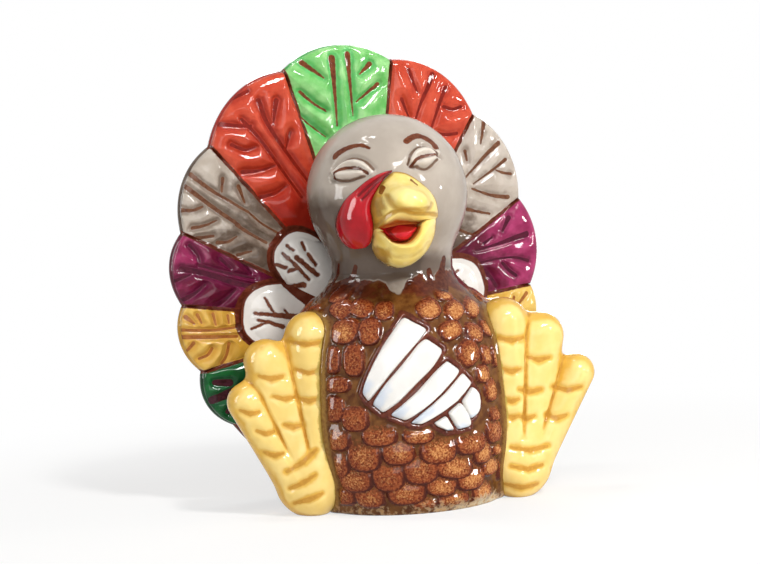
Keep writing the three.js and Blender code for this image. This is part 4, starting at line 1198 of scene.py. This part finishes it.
def makeFoot(side, finish):
    # rings out to the foot's outline and back behind it; its depth is a quarter circle of the way to the edge
    sign = -1 if side == "right" else 1
    middle = np.array(feet["middle"], float)
    angle = turnsRound(feet["around"])
    ray = pointsOf(np.sin(angle), np.cos(angle))
    coarse = np.linspace(1, 0, feet["ringsBehind"])[1:]
    share = np.concatenate([easedShares(feet["rings"], 0.5), np.sin(coarse * np.pi / 2)])[:, None]
    flat = middle + (share * footReach(middle, ray, side))[..., None] * ray
    edge = footEdge(flat, side)
    fat = mix(feet["heelRadius"], feet["toeRadius"], smooth(14, 34, flat[..., 1]))
    depth = rootOf(fat ** 2 - np.clip(edge + fat, 0, fat) ** 2)
    near, second = limbDistance(flat, side)
    cleft = bell(second - near, 1.7) * smooth(22, 34, flat[..., 1])
    arms = [([arc[1], end], 2.2, 1.2) for arc in footCreases[side] for end in (arc[0], arc[2])]
    crease = nearest(flat, arms)
    fold = groove(crease, 1.3)
    ahead = np.arange(len(share))[:, None] < feet["rings"]
    press = (feet["crease"] * fold + feet["cleft"] * cleft) * smooth(0, 4, depth)
    full = mix(1.4, 1.05, smooth(-4, 10, flat[..., 0]))  # fuller in front where it leans on the body
    y = np.where(ahead, press - full * depth, depth) - feet["forward"]
    grid = turnedFoot(sign * (heelSide + flat[..., 0]), y, np.maximum(flat[..., 1], 0))
    radius = bodyRadius(grid[..., 2]) + feet["gap"]
    room = 1 - ((grid[..., 1] - leanAt(grid[..., 2])) / (body["depth"] * radius)) ** 2
    skin = np.where(room > 0, radius * rootOf(room), -far)
    joined = smooth(2.6, 0.2, sign * grid[..., 0] - skin)
    grid[..., 0] = sign * np.maximum(sign * grid[..., 0], skin)
    # top is a painted highlight where the toes stand out; the cleft mark is painted shade between the toes
    top = smooth(0.35, 1.0, depth / feet["toeRadius"]) * (1 - cleft) * (1 - 0.7 * fold)
    marks = dict(crease=ahead * smooth(1.0, -0.9, crease), cleft=ahead * 0.7 * cleft, joint=joined,
                 top=ahead * top)
    addPiece(f"painted_{side}_foot", grid, finish, [f"{side}_foot"], marks)


# warm yellow with a painted highlight where the toes stand out and painted shade in the clefts, golden in the
# creases, olive at the body
footFinish = glaze("brushed yellow glazed earthenware", ("#dfb453", "#d6a744", 10), [
    ("top", "#f0d488", "#ebcb77", 9, 0.5), ("cleft", "#c8943a", "#bb8630", 5, 0.3),
    ("crease", "#bb8632", "#c99640", 2, 0.3), ("joint", "#b09444", "#c0a24e", 3, 0.5)])
for side in ("right", "left"):
    makeFoot(side, footFinish)
print("feet made")


# The beak, tongue and snood are built up forward from the ball of the head. Outlines and lines are (side, up)
# in mm from the middle of the face; each middle is the place that a piece's rings run out from

beakShape = dict(upperMiddle=(2.8, -3.2), bridge=12, noseAt=(4, -1.6), noseHalf=(8.8, 5.2), noseSlope=0.3,
                 noseRise=8.8, roofDepth=6, roofEdge=1.2, lip=1.2, underBall=0.8, nostril=1.1, dimple=0.6,
                 lowerMiddle=(0.9, -21.5), chinFront=46, ridge=1.6, hollow=8, underRidge=1.2,
                 tongueMiddle=(-1, -15.6), tongueTop=(-1.1, -11.5), tongueBack=38.2, tongueRise=6,
                 tongueDome=1.4, around=300, rings=110, tongueAround=200, tongueRings=50)
beak = dict(
    upper=[(1.8, 9.8), (6.2, 8.3), (10.5, 4.8), (14, 0.9), (16.4, -3.3), (17.1, -7.5), (16.6, -12),
           (13, -14), (9, -14), (6.3, -13.3), (-1.2, -12.6), (-6.8, -12.7), (-9.2, -13.6), (-11.4, -13.6),
           (-11.6, -9.8), (-11.4, -6.4), (-11.1, -3.1), (-9.6, 0.7), (-6.7, 4.4), (-3.5, 7.2), (-0.5, 9.2)],
    roof=[(-10.4, -11.5), (-6.7, -9.5), (-1.7, -7.4), (2.2, -8.3), (5.3, -10.3), (8.9, -10.9),
          (13.4, -11.8)],
    mouth=[(-12, -12.6), (-10.3, -12.6), (-6.8, -12.7), (-1.1, -12.6), (6.3, -13.3), (8.1, -13.4),
           (11.8, -12), (16, -11)],
    lip=[(-11.2, -8.9), (-6.5, -7.7), (-3.2, -6.1), (0.8, -5.9), (5.1, -7.9), (11.4, -9.2), (15.3, -10.5)],
    underBall=[(-4.6, 1), (-4.2, -0.9), (-2.9, -3.5), (-0.8, -5), (4, -6.1), (8.5, -7), (12.1, -7.1),
               (13.5, -5.5)],
    nostrils=[[(-4.8, 4.4), (-6.3, 2.4)], [(7.3, 5.4), (9.2, 3)]], nostrilWidths=[(1.9, 1.4), (1.1, 0.6)],
    dimple=[(-7.8, -2.4), (-10.3, -4.1)],
    lower=[(-11.4, -11.4), (-11.9, -16.3), (-12.4, -20.4), (-11.4, -24.4), (-8.7, -27.5), (-5.6, -29.7),
           (-2.4, -30.9), (1.9, -30.6), (6.4, -28.4), (10.3, -25.3), (13.5, -20.8), (15.1, -16.8),
           (15.9, -11), (13, -9.8), (9.6, -11.4), (7.6, -13.2), (6.3, -13.7), (-1.1, -13), (-6.8, -13.1),
           (-8.2, -12.4), (-10.4, -11)],
    ridge=[(-11.6, -14.2), (-8.5, -15.9), (-5.1, -19.3), (-1.3, -20.9), (3.4, -20.7), (7.3, -17.7),
           (10.6, -14.6), (13.2, -13.9)],
    opening=[(-10, -13.1), (-8, -14.2), (-5.5, -18), (-2.5, -19.5), (1.6, -19.6), (5.5, -17),
             (7.7, -13.9), (6.3, -13.7), (-1.1, -13), (-6.8, -13.1)],
    mouthFill=[(-9.6, -12.2), (-7.6, -14.4), (-5.2, -17.8), (-2.4, -19.2), (1.5, -19.3), (5.2, -16.9),
               (7.6, -13.6), (6.2, -12), (-1.1, -11.4), (-6.8, -11.5)],
    tongue=[(-5.7, -13.5), (-3.8, -16.7), (-0.4, -18.4), (2.7, -17.8), (4.9, -15.3), (7.2, -14.1)],
    chin=[[(9.1, -20.2), (5.7, -23)], [(-9.3, -16.6), (-9.5, -20.7)]])


def ballFront(side, up, gap=0.1):
    return rootOf((head["radius"] + gap) ** 2 - side ** 2 - up ** 2)


def addRelief(name, flat, height, finish, marks):
    # a form that stands up from the ball of the head, closed behind by the ball
    side, up = flat[..., 0], flat[..., 1]
    base = ballFront(side, up)
    forward = np.concatenate([base + np.maximum(height, 0) + 0.05, base[::-1][1:]])
    grid = onFace(np.concatenate([side, side[::-1][1:]]), forward, np.concatenate([up, up[::-1][1:]]))
    marks = {mark: np.concatenate([values, 0 * values[:-1]]) for mark, values in marks.items()}
    addPiece("painted_" + name, grid, finish, [name], marks)


def lineAcross(flat, line):
    # height of a line over each place, by its side
    curve = curveThrough(line, 8)
    return np.interp(flat[..., 0], curve[:, 0], curve[:, 1])


def makeUpperBeak(finish):
    # a mound that is steep below and slopes off above, with the nose ball on it, a pressed lip line and a
    # roof that falls back to the mouth
    shape = beakShape
    share, flat = ringsWithin(beak["upper"], np.array(shape["upperMiddle"]), shape["around"], shape["rings"])
    side, up = flat[..., 0], flat[..., 1]
    above = smooth(-1, 8, up)
    mound = (1 - share ** mix(2.6, 1.7, above)) ** mix(0.45, 0.85, above)
    roofTop, mouth = lineAcross(flat, beak["roof"]), lineAcross(flat, beak["mouth"])
    gape = smooth(-9.4, -7, side) * smooth(8.6, 6.4, side) * smooth(2.4, 0.4, np.abs(up - mouth))
    mound = np.maximum(mound, 0.8 * gape)  # the roof ends in a lip over the tongue
    p, q = side - shape["noseAt"][0], up - shape["noseAt"][1]
    ball = (p / shape["noseHalf"][0]) ** 2 + ((q + shape["noseSlope"] * p) / shape["noseHalf"][1]) ** 2
    lip, under = (nearPath(flat, beak[line], 0.3, 0.3) for line in ("lip", "underBall"))
    nostril = nearest(flat, [(line, *width) for line, width in zip(beak["nostrils"], beak["nostrilWidths"])])
    dimple = nearPath(flat, beak["dimple"], 1.2, 0.8)
    roof = smooth(0.05, 0.9, (roofTop - up) / np.maximum(roofTop - mouth, 0.6))
    roof = roof * smooth(-11.5, -8.5, side) * smooth(13.5, 9, side)
    brink = bell(up - roofTop - 1.2, 1.3) * smooth(-11, -7, side) * smooth(15, 10, side)
    height = shape["bridge"] + shape["noseRise"] / (1 + ball ** 4) - shape["roofDepth"] * roof
    height = mound * (height + shape["roofEdge"] * brink - shape["lip"] * groove(lip, 0.9))
    height = height - shape["underBall"] * groove(under, 1) - shape["nostril"] * groove(nostril, 0.7)
    height = height - shape["dimple"] * groove(dimple, 1)
    # skirt and flank are painted shade, along the edges and on the bird's right side
    skirt = smooth(0.86, 1, share) * np.maximum(smooth(0, 5, up), smooth(7, 12, side))
    marks = dict(roof=roof, hole=smooth(0.4, -0.4, nostril),
                 shade=np.maximum(0.75 * smooth(2.2, 0, lip), 0.6 * smooth(2.6, 0, under)),
                 flank=smooth(-2.5, -10, side) * smooth(6, 0, up) + 0.8 * skirt)
    addRelief("upper_beak", flat, height, finish, marks)


def makeLowerBeak(finish):
    # a rounded chin whose front is part of an egg, with the lip raised round the hollow of the mouth
    shape = beakShape
    share, flat = ringsWithin(beak["lower"], np.array(shape["lowerMiddle"]), shape["around"], shape["rings"])
    side, up = flat[..., 0], flat[..., 1]
    front = shape["chinFront"] - 0.03 * (side - 1) ** 2
    front = front - 0.055 * np.maximum(-19 - up, 0) ** 2 - 0.05 * np.maximum(up + 15, 0) ** 2
    mound = (1 - share ** 2.8) ** 0.46
    ridge = nearPath(flat, beak["ridge"], 0, 0)
    hollow = outsideOf(flat, curveThrough(beak["opening"], 5, closed=True)[:-1])
    chin = nearest(flat, [(line, 1.2, 0.6) for line in beak["chin"]])
    height = front - ballFront(side, up) + shape["ridge"] * bell(ridge, 1.5)
    height = height - shape["hollow"] * smooth(0.6, -1.6, hollow)
    height = mound * (height - shape["underRidge"] * bell(ridge - 4.4, 2) * smooth(-17, -20, up))
    # skirt and flank are painted shade, along the edges and on the bird's right side
    skirt = smooth(0.82, 1, share) * np.maximum(smooth(-20, -27, up), smooth(6, 11, side))
    marks = dict(roof=smooth(0.5, -0.6, hollow), hole=0 * ridge,
                 shade=np.maximum(0.45 * bell(ridge - 4, 2) * smooth(-18, -21, up),
                                  0.3 * smooth(1, -0.5, chin)),
                 flank=np.maximum(0.9 * skirt, smooth(-3, -11, side) * smooth(-16, -23, up)))
    addRelief("lower_beak", flat, height, finish, marks)


def makeTongue(finish):
    # it fills the mouth, with its own rounded front raised in the middle
    shape = beakShape
    rings = shape["tongueAround"], shape["tongueRings"]
    share, flat = ringsWithin(beak["mouthFill"], np.array(shape["tongueMiddle"]), *rings)
    side, up = flat[..., 0], flat[..., 1]
    inside = outsideOf(flat, np.concatenate([curveThrough(beak["tongue"], 5), [shape["tongueTop"]]]))
    front = shape["tongueBack"] + shape["tongueRise"] * smooth(-12.4, -15.2, up)
    front = front + shape["tongueDome"] * smooth(0.4, -2.2, inside) - 0.02 * side ** 2
    height = (1 - share ** 6) ** 0.5 * (front - ballFront(side, up))
    # fold is painted shade along the tongue's outline and round its edge under the lips
    marks = dict(fold=np.maximum(smooth(1.1, 0.2, np.abs(inside - 0.2)), smooth(0.86, 0.97, share)))
    addRelief("tongue", flat, height, finish, marks)


# The snood's two edges and the folds at its root, root to tip: (side, up)
snood = dict(
    left=[(-0.2, 11), (-5.4, 10), (-10.7, 8), (-15.7, 5), (-19.8, 2.3), (-22.9, -1.4), (-25.3, -6.1),
          (-25.7, -11), (-24.4, -15.5), (-22, -18.6), (-19, -19.8)],
    right=[(1.3, 10.1), (-2.6, 8.2), (-5.4, 5.5), (-8, 2.2), (-10, -1), (-10.8, -4), (-10.6, -7.3),
           (-10.6, -11), (-11.4, -14.6), (-12.8, -17.8), (-16, -20)],
    folds=[[(0.2, 10.5), (-6.3, 7.7), (-11.1, 5.2), (-15, 2.5)],
           [(-0.7, 9.9), (-5.7, 7.2), (-9.7, 4.1), (-14.1, 0.7)]])
# its steps, the air to the head, its thickness at the root and what the tip has more, its slant and folds
snoodShape = dict(rows=170, around=120, gap=0.15, thin=2.6, thicker=5.4, slant=0.16, fold=1.0)


def makeSnood(finish):
    # across, it rises from both edges to a broad flat top, higher towards the bird's left; it lies along the
    # plane that touches the ball of the head under its middle line
    v = (1 - np.cos(np.linspace(0, np.pi, snoodShape["rows"]))) / 2
    left, right = (alongCurve(snood[edge], 16, v) for edge in ("left", "right"))
    close = np.clip(np.sin(np.pi * v) * 7, 0, 1)[:, None] ** 0.5
    turn = turnsRound(snoodShape["around"])
    across = np.cos(turn)
    middle = (left + right)[:, None] / 2
    flat = middle + ((right - left) / 2 * close)[:, None] * across[:, None]
    side, up = flat[..., 0], flat[..., 1]
    rest = ballFront(middle[..., 0], middle[..., 1], snoodShape["gap"])
    base = ballFront(side, up, snoodShape["gap"])
    plane = rest - ((flat - middle) * middle).sum(-1) / rest
    bulge = np.where(np.sin(turn) > 0, rootOf(1 - np.abs(across) ** 3.2), 0)
    thick = snoodShape["thin"] + snoodShape["thicker"] * smooth(8, -13, up)
    tall = (thick * close * (1 + snoodShape["slant"] * across) + plane - base) * bulge
    fold = nearest(flat, [(line, 0.4, 0.2) for line in snood["folds"]])
    tall = tall - np.minimum(snoodShape["fold"] * groove(fold, 0.7), 0.7 * tall)
    grid = onFace(side, base + tall, up)
    # painted shade: nearly black in the folds and darker towards both edges of the top
    snoodShade = np.maximum(0.8 * smooth(0.9, -0.1, fold), 0.9 * smooth(0.55, 0.1, np.sin(turn)))
    marks = dict(fold=snoodShade * (np.sin(turn) > -0.1))
    addPiece("painted_snood", grid, finish, ["snood"], marks)


# butter yellow, with olive painted shade along the edges and on the bird's right, orange in the roof of the
# mouth, brown nostrils
beakFinish = glaze("beak yellow glazed earthenware", ("#eace6c", "#f2dd8c", 9), [
    ("flank", "#9c7630", "#b48c3c", 5, 0.3), ("roof", "#c8692c", "#d67e38", 4, 0.3),
    ("shade", "#b48a38", "#c2983f", 3, 0.1), ("hole", "#744418", "#8e5e28", 2, 0.3)])
# thick deep red with a wet shine, with painted shade nearly black in the folds and along the edges; the
# tongue's red is painted brighter, as painted light in the shaded mouth
redFinish = glaze("deep red glazed earthenware", ("#9e0a16", "#b2131f", 8), [
    ("fold", "#5c050b", "#760912", 4, 0.4)], shine=1.33)
# the same red painted brighter, as painted light in the shaded mouth
tongueFinish = glaze("bright red glazed earthenware", ("#c01422", "#cc222c", 6), [
    ("fold", "#7c0a12", "#920f18", 3, 0.4)], shine=1.33)
makeUpperBeak(beakFinish)
makeLowerBeak(beakFinish)
makeTongue(tongueFinish)
makeSnood(redFinish)
print("face made")
